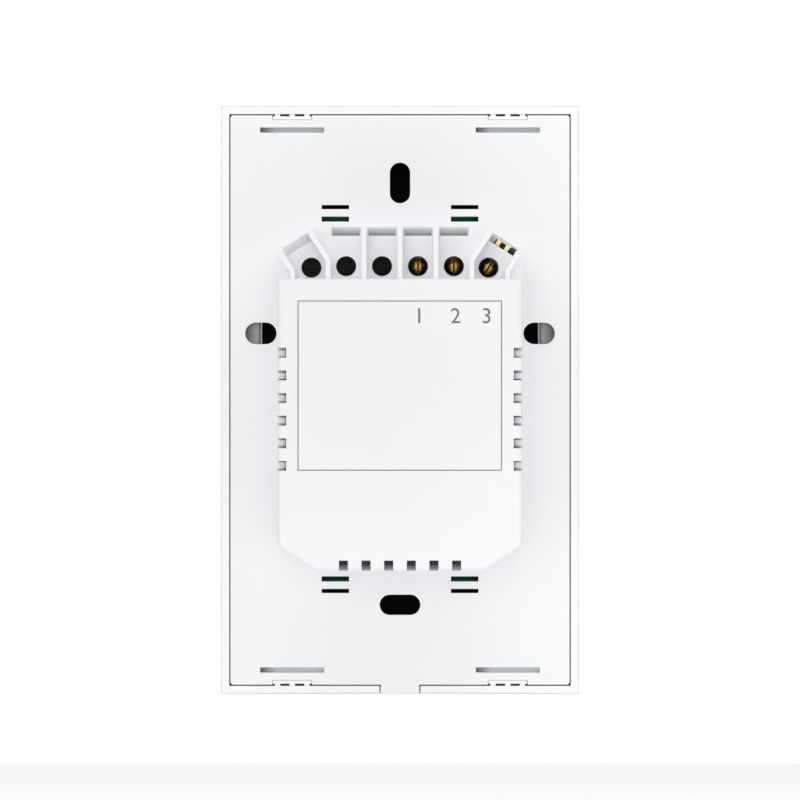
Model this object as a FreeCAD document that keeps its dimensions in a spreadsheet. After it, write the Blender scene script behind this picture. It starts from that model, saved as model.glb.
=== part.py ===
import FreeCAD, Part

import os
import re

import Sketcher

# Wall-mounted smart touch dimmer, one gang.
# Frame: X across, Z up, Y out of the back. The plane y = 0 is the rear face of the base, which lies
# against the wall. The origin is at the middle of that face. The glass looks towards -Y, and the
# housing with the terminals goes into the wall towards +Y.

doc = FreeCAD.newDocument("touch_dimmer")

# Driving sizes in millimetres and degrees
# The overrun is how far a cutting outline goes past the edge that it cuts, and a root is how far
# a raised piece goes into the one that carries it.
SIZES = {
    "overrun": 1,
    "rib_root": 0.2,
    "clip_root": 0.2,
    "cover_width": 73,
    "cover_height": 120,
    "cover_corner": 1.2,
    "bezel_depth": 7,
    "rim_width": 1.7,
    "rim_edge": 0.4,
    "flange_thickness": 1.5,
    "window_side_border": 8.1,
    "window_end_border": 8,
    "window_corner": 2,
    "window_edge": 0.5,
    "glass_thickness": 3,
    "glass_edge": 1,
    "mask_thickness": 0.2,
    "mask_inset": 0.2,
    "cover_gap": 0.2,
    "clip_spacing": 44,
    "clip_channel_width": 8.1,
    "clip_channel_depth": 0.9,
    "clip_width": 7.9,
    "clip_corner": 0.4,
    "clip_rib": 1.1,
    "clip_bar": 0.65,
    "clip_bar_gap": 0.05,
    "clip_setback": 0.2,
    "clip_depth": 0.9,
    "tongue_width": 7.8,
    "tongue_gap": 0.3,
    "plate_thickness": 2,
    "plate_corner": 0.6,
    "skirt_wall": 1.4,
    "flex_slot_length": 13.1,
    "flex_slot_width": 1.06,
    "flex_slot_inset": 3,
    "flex_slot_depth": 1.5,
    "box_slot_length": 8.3,
    "box_slot_width": 4.15,
    "box_slot_top": 44.3,
    "box_slot_bottom": 41.8,
    "side_slot_length": 6.4,
    "side_slot_width": 4.4,
    "side_slot_spacing": 56.8,
    "side_slot_height": 13.6,
    "housing_width": 49.8,
    "housing_height": 70,
    "housing_offset": 0.3,
    "housing_depth": 26,
    "housing_wall": 1.7,
    "housing_corner": 2.5,
    "lid_wall": 1.8,
    "lid_edge": 0.9,
    "chamfer_run": 7.8,
    "chamfer_rise": 5,
    "terminal_step": 24.65,
    "terminal_floor": 19,
    "terminal_wall": 1.9,
    "floor_wall": 1.5,
    "ledge_drop": 2,
    "rib_thickness": 1,
    "rib_drop": 0.6,
    "rib_inset": 0.45,
    "bay_pitch": 7.3,
    "bay_height": 27.2,
    "outer_bay_place": 18,
    "outer_bay_height": 26.9,
    "outer_rib_place": 21.84,
    "driver_hole": 4.05,
    "wire_notch": 5.9,
    "wire_sill": 5.6,
    "vent_pitch": 4.6,
    "vent_width": 2,
    "vent_reach": 0.1,
    "bottom_vent_width": 1.85,
    "bottom_vent_reach": 0.4,
    "side_vent_place": -1.9,
    "side_vent_sill": 20,
    "bottom_vent_sill": 3,
    "power_board_seat": 5.4,
    "board_thickness": 1.6,
    "board_inset": 0.35,
    "post_diameter": 5,
    "post_place": 20.2,
    "post_top": 19,
    "post_bottom": 24.5,
    "board_screw": 2.6,
    "board_screw_head": 4.4,
    "board_screw_head_height": 1.5,
    "board_screw_length": 8,
    "screw_clearance": 0.05,
    "touch_board_width": 48,
    "touch_board_height": 74.1,
    "touch_board_offset": 0.2,
    "board_standoff": 0.8,
    "board_play": 0.2,
    "catch_place": 13.2,
    "catch_width": 5.6,
    "catch_stem": 1.5,
    "catch_nose": 0.7,
    "catch_nose_depth": 0.85,
    "catch_gap": 0.05,
    "seat_half": 1,
    "seat_reach": 3,
    "seat_inset": 0.5,
    "inner_core_slot": 1.05,
    "outer_core_slot": 0.85,
    "contact_bar": 1,
    "contact_width": 3.2,
    "contact_heel": 3.3,
    "contact_reach": 4.2,
    "contact_tine": 1.9,
    "contact_root": 0.2,
    "contact_tine_width": 0.95,
    "contact_tine_spacing": 2.1,
    "wire_gap": 3.2,
    "cage_width": 5.2,
    "cage_sheet": 0.8,
    "cage_head": 1.6,
    "cage_lift": 0.6,
    "cage_rest_gap": 0.3,
    "cage_back": 2.2,
    "cage_front": 2.6,
    "cage_lip": 5.9,
    "cage_lip_root": 0.2,
    "clamp_screw": 3,
    "clamp_screw_head": 3.6,
    "clamp_screw_head_height": 1.4,
    "clamp_screw_slot": 0.5,
    "clamp_screw_slot_depth": 0.8,
    "clamp_tip_gap": 0.1,
    "head_clearance": 0.3,
    "guide_width": 40,
    "guide_height": 66,
    "guide_thickness": 2.1,
    "pad_spacing": 22,
    "spring_well": 10,
    "spring_diameter": 8,
    "spring_wire": 0.5,
    "spring_gap": 0.1,
    "led_place": 14,
    "led_pitch": 6,
    "led_length": 1.6,
    "led_width": 0.8,
    "led_height": 0.7,
    "led_well": 3,
    "led_window": 2,
    "capacitor_diameter": 10,
    "capacitor_height_1": 16,
    "capacitor_across_1": -12,
    "capacitor_up_1": -24,
    "capacitor_height_2": 14,
    "capacitor_across_2": -0.6,
    "capacitor_up_2": -25.4,
    "transformer_across": 10.5,
    "transformer_up": -17,
    "core_width": 13.4,
    "core_thickness": 6,
    "core_height": 12.4,
    "core_leg": 3.4,
    "core_window_width": 2.9,
    "core_window_height": 9.2,
    "coil_width": 8.8,
    "coil_thickness": 10.4,
    "coil_gap": 0.15,
    "coil_play": 0.1,
    "coil_round": 1.5,
    "varistor_across": 10,
    "varistor_up": -28,
    "varistor_diameter": 8,
    "varistor_thickness": 3.6,
    "varistor_lead": 0.7,
    "varistor_lead_spacing": 5,
    "varistor_lift": 1.2,
    "choke_across": -1,
    "choke_up": -6,
    "choke_radius": 4.2,
    "choke_ring": 2,
    "choke_height": 4.9,
    "fuse_across": 2,
    "fuse_up": 17,
    "fuse_length": 9,
    "fuse_width": 3.4,
    "fuse_cap": 2,
    "fuse_cap_wall": 0.3,
    "sink_face": 16.4,
    "sink_base": 1.6,
    "sink_depth": 5.6,
    "sink_low": -14,
    "sink_high": 8,
    "sink_fin": 1,
    "sink_height": 15,
    "transistor_width": 8,
    "transistor_thickness": 3.2,
    "transistor_height": 11,
    "transistor_legs": 3,
    "transistor_leg_place": 1.5,
    "transistor_leg": 0.7,
    "transistor_leg_pitch": 2.4,
    "transistor_screw_height": 11.4,
    "transistor_screw": 2.6,
    "transistor_screw_head": 4.6,
    "transistor_screw_head_height": 1.4,
    "transistor_up_1": -9,
    "transistor_up_2": 1,
}

# Plain parts on the boards: middle across, middle up, width, height and depth
BLOCKS = {
    "touch_chip": (-12, 8, 5, 5, 1),
    "wireless_module": (6, 6, 16, 24, 0.8),
    "shield_can": (6, 4, 12, 14, 2.2),
    "header_socket": (-10, -10, 2.5, 12.7, 4.1),
    "header_plug": (-10, -10, 2.5, 12.7, 2.5),
    "film_capacitor": (13.5, 0, 13, 6, 12),
    "bridge_rectifier": (13.5, 9, 8.3, 6.3, 3.3),
    "driver_chip": (1, 8, 5, 6, 1.75),
}
for block_name, block_sizes in BLOCKS.items():
    for word, value in zip(("across", "up", "width", "height", "depth"), block_sizes):
        SIZES[f"{block_name}_{word}"] = value

# Sizes worked out from the driving ones
WORKED_OUT = {
    "shell_half_width": "cover_width / 2 - rim_width - cover_gap",
    "window_width": "cover_width - 2 * window_side_border",
    "window_height": "cover_height - 2 * window_end_border",
    "shell_half_height": "cover_height / 2 - rim_width - cover_gap",
    "bezel_half_width": "cover_width / 2 - rim_width",
    "bezel_half_height": "cover_height / 2 - rim_width",
    "skirt_depth": "bezel_depth - flange_thickness - plate_thickness",
    "mask_face": "bezel_depth - mask_thickness",
    "house_side": "housing_width / 2",
    "house_top": "housing_offset + housing_height / 2",
    "house_bottom": "housing_offset - housing_height / 2",
    "bay_sine": "chamfer_rise / sqrt(chamfer_run ^ 2 + chamfer_rise ^ 2)",
    "bay_cosine": "chamfer_run / sqrt(chamfer_run ^ 2 + chamfer_rise ^ 2)",
    "bay_turn": "atan(chamfer_rise / chamfer_run)",
    "bay_reach": "bay_sine * (house_side - outer_bay_place)"
    " + bay_cosine * (house_top - chamfer_rise - outer_bay_height)",
    "cavity_side": "house_side - housing_wall",
    "cavity_top": "house_top - terminal_wall",
    "cavity_bottom": "house_bottom + housing_wall",
    "lid_underside": "housing_depth - lid_wall",
    "floor_underside": "terminal_floor - floor_wall",
    "ledge_face": "housing_depth - ledge_drop",
    "rib_face": "housing_depth - rib_drop",
    "partition_face": "power_board_seat + cage_lift",
    "catch_top": "touch_board_offset + touch_board_height / 2 + board_play",
    "catch_bottom": "touch_board_offset - touch_board_height / 2 - board_play",
    "touch_board_rear": "plate_thickness + board_standoff",
    "touch_board_front": "touch_board_rear + board_thickness",
    "power_board_front": "power_board_seat - board_thickness",
    "varistor_middle": "power_board_seat + varistor_lift + varistor_diameter / 2",
    "transistor_foot": "power_board_seat + transistor_legs",
    "transistor_bore": "power_board_seat + transistor_screw_height",
    "fuse_middle": "power_board_seat + fuse_width / 2",
    "cage_bottom": "power_board_seat + cage_lift",
    "contact_top": "cage_bottom + cage_sheet + wire_gap + contact_bar",
    "cage_top": "contact_top + cage_rest_gap + cage_head",
    "head_top": "floor_underside - head_clearance",
    "head_seat": "head_top - clamp_screw_head_height",
}

# Number of fins of the heat sink
SINK_FINS = 5

REAR = "rear"
FRONT = "front"
WORD = re.compile(r"[a-z][a-z0-9_]+")

sheet = doc.addObject("Spreadsheet::Sheet", "sizes")
worked = doc.addObject("Spreadsheet::Sheet", "worked")
bench = doc.addObject("Spreadsheet::Sheet", "bench")


def linked(text):
    """Turn an expression of size names into one that the document understands."""

    def cell(match):
        word = match.group(0)
        if word in SIZES:
            return "sizes." + word
        return "worked." + word if word in WORKED_OUT else word

    return WORD.sub(cell, str(text))


def number(text):
    """Value of an expression at the sizes in the sheet."""
    bench.set("A1", "=" + linked(text))
    bench.recompute()
    value = bench.get("A1")
    return float(getattr(value, "Value", value))


def fill_sheets():
    """Write the driving sizes and the ones worked out from them, each under its name."""
    for row, (name, value) in enumerate(SIZES.items(), start=1):
        sheet.set(f"A{row}", name)
        sheet.set(f"B{row}", str(value))
        sheet.setAlias(f"B{row}", name)
    sheet.recompute()
    for row, (name, text) in enumerate(WORKED_OUT.items(), start=1):
        worked.set(f"A{row}", name)
        worked.setAlias(f"B{row}", name)
    for row, (name, text) in enumerate(WORKED_OUT.items(), start=1):
        worked.set(f"B{row}", "=" + linked(text))
    doc.recompute()


def new_body(label):
    """One piece of the dimmer."""
    body = doc.addObject("PartDesign::Body", label)
    body.Label = label
    body.AllowCompound = True
    return body


def new_sketch(body, name, at="0", plane="XZ_Plane"):
    """A sketch across the body at a place along its normal: y for XZ, z for XY."""
    sketch = body.newObject("Sketcher::SketchObject", f"{body.Label}_{name}_outline")
    planes = [item for item in body.Origin.OriginFeatures if item.Role == plane]
    sketch.AttachmentSupport = [(planes[0], "")]
    sketch.MapMode = "FlatFace"
    away = "-" if plane == "XZ_Plane" else ""
    sketch.setExpression("AttachmentOffset.Base.z", f"{away}({linked(at)})")
    return sketch


def fix_point(sketch, item, point, across, up):
    """Tie one point of a sketch to two expressions, measured from the sketch's origin."""
    for kind, axis, text in (("DistanceX", -2, across), ("DistanceY", -1, up)):
        if str(text) == "0":
            sketch.addConstraint(Sketcher.Constraint("PointOnObject", item, point, axis))
        else:
            rule = Sketcher.Constraint(kind, -1, 1, item, point, number(text))
            index = sketch.addConstraint(rule)
            sketch.setExpression(f"Constraints[{index}]", linked(text))


def polygon(sketch, corners):
    """A closed outline of straight lines through tied corners."""
    first = sketch.GeometryCount
    points = [FreeCAD.Vector(number(across), number(up), 0) for across, up in corners]
    ends = points[1:] + points[:1]
    sketch.addGeometry([Part.LineSegment(start, end) for start, end in zip(points, ends)], False)
    for index in range(len(points)):
        after = first + (index + 1) % len(points)
        sketch.addConstraint(Sketcher.Constraint("Coincident", first + index, 2, after, 1))
    for index, (across, up) in enumerate(corners):
        fix_point(sketch, first + index, 1, across, up)


def rectangle(sketch, left, right, low, high):
    """A rectangle between four tied sides."""
    polygon(sketch, [(left, low), (right, low), (right, high), (left, high)])


def square(sketch, across, up, width):
    """A square by its middle and width."""
    half = f"({width}) / 2"
    rectangle(sketch, f"{across} - {half}", f"{across} + {half}", f"{up} - {half}", f"{up} + {half}")


def hexagon(sketch, across, up, radius):
    """A six-sided outline by its middle and the radius of its corners."""
    corners = []
    for step in range(6):
        turn = f"{60 * step} deg"
        corners.append((f"{across} + ({radius}) * cos({turn})", f"{up} + ({radius}) * sin({turn})"))
    polygon(sketch, corners)


def circle(sketch, across, up, radius):
    """A circle with a tied centre and radius."""
    centre = FreeCAD.Vector(number(across), number(up), 0)
    item = sketch.addGeometry(Part.Circle(centre, FreeCAD.Vector(0, 0, 1), number(radius)), False)
    fix_point(sketch, item, 3, across, up)
    index = sketch.addConstraint(Sketcher.Constraint("Radius", item, number(radius)))
    sketch.setExpression(f"Constraints[{index}]", linked(radius))


def slot(sketch, across, up, length, width, upright=False):
    """A slot with round ends, between the centres of its two end arcs."""
    half = f"({length} - {width}) / 2"
    radius = f"({width}) / 2"
    reach = number(half)
    size = number(radius)
    middle = FreeCAD.Vector(number(across), number(up), 0)
    along = FreeCAD.Vector(0, 1, 0) if upright else FreeCAD.Vector(1, 0, 0)
    beside = FreeCAD.Vector(-along.y, along.x, 0)
    low = middle - along * reach
    high = middle + along * reach
    first = sketch.GeometryCount

    def end_arc(centre, out):
        start = centre - beside * size * out
        through = centre + along * size * out
        stop = centre + beside * size * out
        return Part.Arc(start, through, stop)

    lower_side = Part.LineSegment(low - beside * size, high - beside * size)
    upper_side = Part.LineSegment(high + beside * size, low + beside * size)
    sketch.addGeometry([lower_side, end_arc(high, 1), upper_side, end_arc(low, -1)], False)
    for index in range(4):
        after = first + (index + 1) % 4
        sketch.addConstraint(Sketcher.Constraint("Tangent", first + index, 2, after, 1))
    side = "Vertical" if upright else "Horizontal"
    sketch.addConstraint(Sketcher.Constraint(side, first))
    sketch.addConstraint(Sketcher.Constraint(side, first + 2))
    index = sketch.addConstraint(Sketcher.Constraint("Radius", first + 1, size))
    sketch.setExpression(f"Constraints[{index}]", linked(radius))
    if upright:
        fix_point(sketch, first + 1, 3, across, f"{up} + {half}")
        kind, far = "DistanceY", f"{up} - {half}"
    else:
        fix_point(sketch, first + 1, 3, f"{across} + {half}", up)
        kind, far = "DistanceX", f"{across} - {half}"
    index = sketch.addConstraint(Sketcher.Constraint(kind, -1, 1, first + 3, 3, number(far)))
    sketch.setExpression(f"Constraints[{index}]", linked(far))


def solid_volume(body):
    """Volume of a body as built so far, which has to be sound."""
    doc.recompute()
    shape = body.Shape
    if shape.isNull():
        return 0.0
    if not shape.isValid():
        raise ValueError(f"{body.Tip.Name} is not a sound shape")
    return shape.Volume


def pad(body, sketch, length, towards=FRONT):
    """Add material from a sketch towards the front or the rear of its plane."""
    before = solid_volume(body)
    feature = body.newObject("PartDesign::Pad", sketch.Name.replace("outline", "pad"))
    feature.Profile = sketch
    feature.Reversed = towards == REAR
    feature.setExpression("Length", linked(length))
    sketch.Visibility = False
    if solid_volume(body) <= before:
        raise ValueError(f"{feature.Name} adds nothing")
    return feature


def pocket(body, sketch, length, towards=REAR):
    """Cut material from a sketch towards the front or the rear of its plane."""
    before = solid_volume(body)
    feature = body.newObject("PartDesign::Pocket", sketch.Name.replace("outline", "pocket"))
    feature.Profile = sketch
    feature.Reversed = towards == FRONT
    feature.setExpression("Length", linked(length))
    sketch.Visibility = False
    if solid_volume(body) >= before:
        raise ValueError(f"{feature.Name} cuts nothing")
    return feature


def turned(body, corners):
    """A turned piece: an outline of radius and height swept round the body's own Y axis."""
    sketch = new_sketch(body, "section", plane="XY_Plane")
    polygon(sketch, corners)
    feature = body.newObject("PartDesign::Revolution", f"{body.Label}_turned")
    feature.Profile = sketch
    feature.ReferenceAxis = (sketch, ["V_Axis"])
    feature.Angle = 360
    sketch.Visibility = False
    solid_volume(body)
    return feature


def edges_where(body, wanted):
    """Names of the edges of a body that a test picks."""
    doc.recompute()
    return [f"Edge{index}" for index, edge in enumerate(body.Shape.Edges, start=1) if wanted(edge)]


def upright_edge(edge):
    """Whether an edge runs straight from front to back."""
    box = edge.BoundBox
    return box.YLength > 3 * (box.XLength + box.ZLength)


def fillet(body, name, radius, wanted):
    """Round the edges that a test picks."""
    names = edges_where(body, wanted)
    feature = body.newObject("PartDesign::Fillet", f"{body.Label}_{name}_round")
    feature.Base = (feature.BaseFeature, names)
    feature.setExpression("Radius", linked(radius))
    before = body.Shape.Volume
    if abs(solid_volume(body) - before) < 1e-6:
        raise ValueError(f"{feature.Name} rounds nothing")
    return feature


def chamfer(body, name, size, wanted):
    """Cut off the edges that a test picks."""
    names = edges_where(body, wanted)
    feature = body.newObject("PartDesign::Chamfer", f"{body.Label}_{name}_chamfer")
    feature.Base = (feature.BaseFeature, names)
    feature.setExpression("Size", linked(size))
    before = body.Shape.Volume
    if solid_volume(body) >= before:
        raise ValueError(f"{feature.Name} cuts nothing")
    return feature


def place(body, across="0", out="0", up="0", turn="0"):
    """Put a piece at its place, its top leaning towards -X by an angle."""
    axis = FreeCAD.Vector(0, -1, 0)
    spot = FreeCAD.Vector(number(across), number(out), number(up))
    body.Placement = FreeCAD.Placement(spot, FreeCAD.Rotation(axis, number(turn)))
    body.setExpression("Placement.Base.x", linked(across))
    body.setExpression("Placement.Base.y", linked(out))
    body.setExpression("Placement.Base.z", linked(up))
    if str(turn) != "0":
        body.setExpression("Placement.Rotation.Angle", linked(turn))


def housing_corners():
    """The housing's outline where it leaves the plate: a box with its four corners cut off."""
    corners = []
    for side, turn_first in (("-", False), ("", True)):
        low = [
            (f"{side}(house_side - chamfer_run)", "house_bottom"),
            (f"{side}house_side", "house_bottom + chamfer_rise"),
        ]
        high = [
            (f"{side}house_side", "house_top - chamfer_rise"),
            (f"{side}(house_side - chamfer_run)", "house_top"),
        ]
        half = low + high
        corners += half if turn_first else half[::-1]
    return corners


def cavity_corners(top="", inset="0"):
    """The inside of the housing's walls, up to its top wall or to a lower level."""
    side_wall = f"(housing_wall + {inset})"
    top_wall = f"(terminal_wall + {inset})"
    side = f"(house_side - {side_wall})"
    low_run = f"(house_side - chamfer_run - {side_wall} * (1 - bay_cosine) / bay_sine)"
    low_turn = f"house_bottom + chamfer_rise + {side_wall} * (1 - bay_sine) / bay_cosine"
    half = [(low_run, f"house_bottom + {side_wall}"), (side, low_turn)]
    if top:
        half.append((side, top))
    else:
        top_run = f"(house_side - chamfer_run - {top_wall} * (1 - bay_cosine) / bay_sine)"
        top_turn = f"house_top - chamfer_rise + ({side_wall} * bay_sine - {top_wall}) / bay_cosine"
        half += [(side, top_turn), (top_run, f"house_top - {top_wall}")]
    return [(f"-{across}", up) for across, up in half[::-1]] + half


def bay_point(side, beside, out):
    """A point of the angled bay on one side, from its screw: beside and out along the wire's way."""
    across = f"{side}(outer_bay_place + ({beside}) * bay_cosine + ({out}) * bay_sine)"
    up = f"outer_bay_height - ({beside}) * bay_sine + ({out}) * bay_cosine"
    return across, up


def bay_line(at, beside):
    """Height at which a line along the angled bay meets an upright one."""
    return f"outer_bay_height + (({at} - outer_bay_place) * bay_cosine - ({beside})) / bay_sine"


def bay_places():
    """Centres of the six driver holes, from left to right."""
    middles = [(f"bay_pitch * {index} / 2", "bay_height") for index in (-3, -1, 1, 3)]
    left = ("-outer_bay_place", "outer_bay_height")
    right = ("outer_bay_place", "outer_bay_height")
    return [left] + middles + [right]


def post_places():
    """Centres of the four screw posts."""
    return [
        (side + "post_place", height)
        for side in ("", "-")
        for height in ("post_top", "-post_bottom")
    ]


def bay_field():
    """The sunken field of the six bays, between the outer ribs and out past the top wall."""
    half = [
        ("outer_rib_place", "terminal_step"),
        ("outer_rib_place", bay_line("outer_rib_place", "bay_pitch / 2")),
        bay_point("", "bay_pitch / 2", "bay_reach + 2"),
        ("house_side - chamfer_run / 2", "house_top + 2"),
    ]
    return half + [(f"-({across})", up) for across, up in half[::-1]]


def straight_rib(sketch, middle):
    """An upright rib between two bays, from the step to the top wall."""
    rectangle(
        sketch,
        f"{middle} - rib_thickness / 2",
        f"{middle} + rib_thickness / 2",
        "terminal_step - lid_wall / 2",
        "house_top - rib_inset",
    )


def angled_rib(sketch, side):
    """The rib that leaves the step upright and turns to run beside the angled bay."""
    near = "(bay_pitch * 2 - rib_thickness / 2)"
    far = "(bay_pitch * 2 + rib_thickness / 2)"
    inner = "-bay_pitch / 2 - rib_thickness / 2"
    outer = "-bay_pitch / 2 + rib_thickness / 2"
    low = "terminal_step - lid_wall / 2"
    end = "bay_reach - rib_inset"
    polygon(
        sketch,
        [
            (side + near, low),
            (side + far, low),
            (side + far, bay_line(far, outer)),
            bay_point(side, outer, end),
            bay_point(side, inner, end),
            (side + near, bay_line(near, inner)),
        ],
    )


def outer_rib(sketch, side):
    """The rib outside the angled bay."""
    near = "(outer_rib_place - rib_thickness / 2)"
    far = "(outer_rib_place + rib_thickness / 2)"
    inner = "bay_pitch / 2 - rib_thickness / 2"
    outer = "bay_pitch / 2 + rib_thickness / 2"
    low = "terminal_step - lid_wall / 2"
    end = "bay_reach - rib_inset * 2"
    polygon(
        sketch,
        [
            (side + near, low),
            (side + far, low),
            (side + far, bay_line(far, outer)),
            bay_point(side, outer, end),
            bay_point(side, inner, end),
            (side + near, bay_line(near, inner)),
        ],
    )


def angled_partition(sketch, side):
    """The wall under the floor between the angled bay and the next one."""
    inner = "-bay_pitch / 2 - rib_thickness / 2"
    outer = "-bay_pitch / 2 + rib_thickness / 2"
    end = "bay_reach - rib_inset"
    polygon(
        sketch,
        [
            bay_point(side, inner, "rib_root"),
            bay_point(side, outer, "rib_root"),
            bay_point(side, outer, end),
            bay_point(side, inner, end),
        ],
    )


def add_board_catches(body):
    """Four catches for the touch board, the seats under its corners, and the core slots behind."""
    cores = new_sketch(body, "core_slots")
    stems = new_sketch(body, "catch_stems", "-plate_thickness")
    noses = new_sketch(body, "catch_noses", "-touch_board_front - catch_gap")
    seats = new_sketch(body, "board_seats", "-plate_thickness")
    for side in ("", "-"):
        left = f"{side}catch_place - catch_width / 2"
        right = f"{side}catch_place + catch_width / 2"
        for end, edge in (("", "catch_top"), ("-", "-catch_bottom")):
            inner = [f"{end}({edge} - inner_core_slot)", f"{end}({edge})"]
            outer = [f"{end}({edge} + catch_stem)", f"{end}({edge} + catch_stem + outer_core_slot)"]
            stem = [f"{end}({edge})", f"{end}({edge} + catch_stem)"]
            nose = [f"{end}({edge} - catch_nose)", f"{end}({edge} + catch_stem)"]
            seat = [f"{end}({edge} - seat_reach)", f"{end}({edge} - seat_inset)"]
            if end:
                for pair in (inner, outer, stem, nose, seat):
                    pair.reverse()
            rectangle(cores, left, right, *inner)
            rectangle(cores, left, right, *outer)
            rectangle(stems, left, right, *stem)
            rectangle(noses, left, right, *nose)
            rectangle(seats, f"{side}post_place - seat_half", f"{side}post_place + seat_half", *seat)
    pocket(body, cores, "plate_thickness", FRONT)
    pad(body, stems, "touch_board_front - plate_thickness + catch_gap + catch_nose_depth")
    pad(body, noses, "catch_nose_depth")
    pad(body, seats, "board_standoff")


def build_rear_shell():
    """The base plate, its skirt, and the housing that goes into the wall box, moulded in one."""
    body = new_body("rear_shell")

    plate = new_sketch(body, "plate")
    rectangle(plate, "-shell_half_width", "shell_half_width", "-shell_half_height", "shell_half_height")
    pad(body, plate, "plate_thickness + skirt_depth")
    fillet(body, "plate_corner", "plate_corner", upright_edge)
    well = new_sketch(body, "skirt_well", "-plate_thickness - skirt_depth")
    inner_width = "shell_half_width - skirt_wall"
    inner_height = "shell_half_height - skirt_wall"
    rectangle(well, f"-({inner_width})", inner_width, f"-({inner_height})", inner_height)
    pocket(body, well, "skirt_depth")

    tongue = new_sketch(body, "tongue")
    half = "tongue_width / 2"
    rectangle(tongue, f"-{half}", half, "-cover_height / 2", "-shell_half_height + overrun")
    pad(body, tongue, "plate_thickness")
    tongue_end = -number("cover_height / 2")
    fillet(
        body,
        "tongue_edge",
        "rim_edge",
        lambda edge: abs(edge.CenterOfMass.z - tongue_end) < 0.01 and abs(edge.CenterOfMass.y) < 0.01,
    )

    housing = new_sketch(body, "housing")
    polygon(housing, housing_corners())
    pad(body, housing, "housing_depth", REAR)
    fillet(body, "housing_corner", "housing_corner", lambda edge: edge.BoundBox.YMax > 1 and upright_edge(edge))

    step = new_sketch(body, "step", "housing_depth")
    rectangle(step, "-house_side - overrun", "house_side + overrun", "terminal_step", "house_top + overrun")
    pocket(body, step, "ledge_drop", FRONT)
    lid_face = number("housing_depth") - 0.01
    fillet(body, "lid_edge", "lid_edge", lambda edge: edge.BoundBox.YMin > lid_face)

    bays = new_sketch(body, "bays", "ledge_face")
    polygon(bays, bay_field())
    pocket(body, bays, "ledge_face - terminal_floor", FRONT)

    cavity = new_sketch(body, "cavity", "-plate_thickness")
    polygon(cavity, cavity_corners())
    pocket(body, cavity, "plate_thickness + floor_underside")
    lid_cavity = new_sketch(body, "lid_cavity", "floor_underside")
    polygon(lid_cavity, cavity_corners(top="terminal_step - lid_wall"))
    pocket(body, lid_cavity, "lid_underside - floor_underside")

    ribs = new_sketch(body, "ribs", "terminal_floor")
    for middle in ("0", "bay_pitch", "-bay_pitch"):
        straight_rib(ribs, middle)
    for side in ("", "-"):
        angled_rib(ribs, side)
        outer_rib(ribs, side)
    pad(body, ribs, "rib_face - terminal_floor", REAR)
    partitions = new_sketch(body, "partitions", "floor_underside")
    for middle in ("0", "bay_pitch", "-bay_pitch"):
        straight_rib(partitions, middle)
    for side in ("", "-"):
        angled_partition(partitions, side)
    pad(body, partitions, "floor_underside - partition_face")

    notches = new_sketch(body, "wire_notches", "housing_depth")
    for middle in ("-bay_pitch * 3 / 2", "-bay_pitch / 2", "bay_pitch / 2", "bay_pitch * 3 / 2"):
        rectangle(
            notches,
            f"{middle} - wire_notch / 2",
            f"{middle} + wire_notch / 2",
            "cavity_top",
            "house_top + overrun",
        )
    for side in ("", "-"):
        inner = "bay_reach - terminal_wall"
        outer = "bay_reach + overrun"
        half = "wire_notch / 2"
        corners = [(f"-({half})", inner), (half, inner), (half, outer), (f"-({half})", outer)]
        polygon(notches, [bay_point(side, beside, out) for beside, out in corners])
    pocket(body, notches, "housing_depth - wire_sill", FRONT)

    holes = new_sketch(body, "driver_holes", "terminal_floor")
    for across, up in bay_places():
        circle(holes, across, up, "driver_hole / 2")
    pocket(body, holes, "floor_wall", FRONT)

    side_vents = new_sketch(body, "side_vents", "housing_depth")
    for index in range(-5, 6, 2):
        middle = f"side_vent_place + vent_pitch * {index} / 2"
        low = f"{middle} - vent_width / 2"
        high = f"{middle} + vent_width / 2"
        rectangle(side_vents, "cavity_side - vent_reach", "house_side + overrun", low, high)
        rectangle(side_vents, "-house_side - overrun", "-cavity_side + vent_reach", low, high)
    pocket(body, side_vents, "housing_depth - side_vent_sill", FRONT)
    bottom_vents = new_sketch(body, "bottom_vents", "housing_depth")
    for index in range(-5, 6, 2):
        middle = f"vent_pitch * {index} / 2"
        left = f"{middle} - bottom_vent_width / 2"
        right = f"{middle} + bottom_vent_width / 2"
        rectangle(bottom_vents, left, right, "house_bottom - overrun", "cavity_bottom + bottom_vent_reach")
    pocket(body, bottom_vents, "housing_depth - bottom_vent_sill", FRONT)

    posts = new_sketch(body, "posts", "power_board_seat")
    for across, up in post_places():
        circle(posts, across, up, "post_diameter / 2")
    pad(body, posts, "lid_underside - power_board_seat", REAR)
    pilots = new_sketch(body, "post_pilots", "power_board_seat")
    for across, up in post_places():
        circle(pilots, across, up, "board_screw / 2 + screw_clearance")
    pocket(body, pilots, "board_screw_length", REAR)

    slots = new_sketch(body, "fixing_slots")
    slot(slots, "side_slot_spacing / 2", "side_slot_height", "side_slot_length", "side_slot_width")
    slot(slots, "-side_slot_spacing / 2", "side_slot_height", "side_slot_length", "side_slot_width")
    slot(slots, "0", "box_slot_top", "box_slot_length", "box_slot_width", upright=True)
    slot(slots, "0", "-box_slot_bottom", "box_slot_length", "box_slot_width")
    pocket(body, slots, "plate_thickness", FRONT)

    flex = new_sketch(body, "flex_slots")
    for side in ("", "-"):
        left = f"{side}clip_spacing / 2 - flex_slot_length / 2"
        right = f"{side}clip_spacing / 2 + flex_slot_length / 2"
        outer = "shell_half_height - flex_slot_inset + flex_slot_width / 2"
        inner = "shell_half_height - flex_slot_inset - flex_slot_width / 2"
        rectangle(flex, left, right, inner, outer)
        rectangle(flex, left, right, f"-({outer})", f"-({inner})")
    pocket(body, flex, "flex_slot_depth", FRONT)

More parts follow.
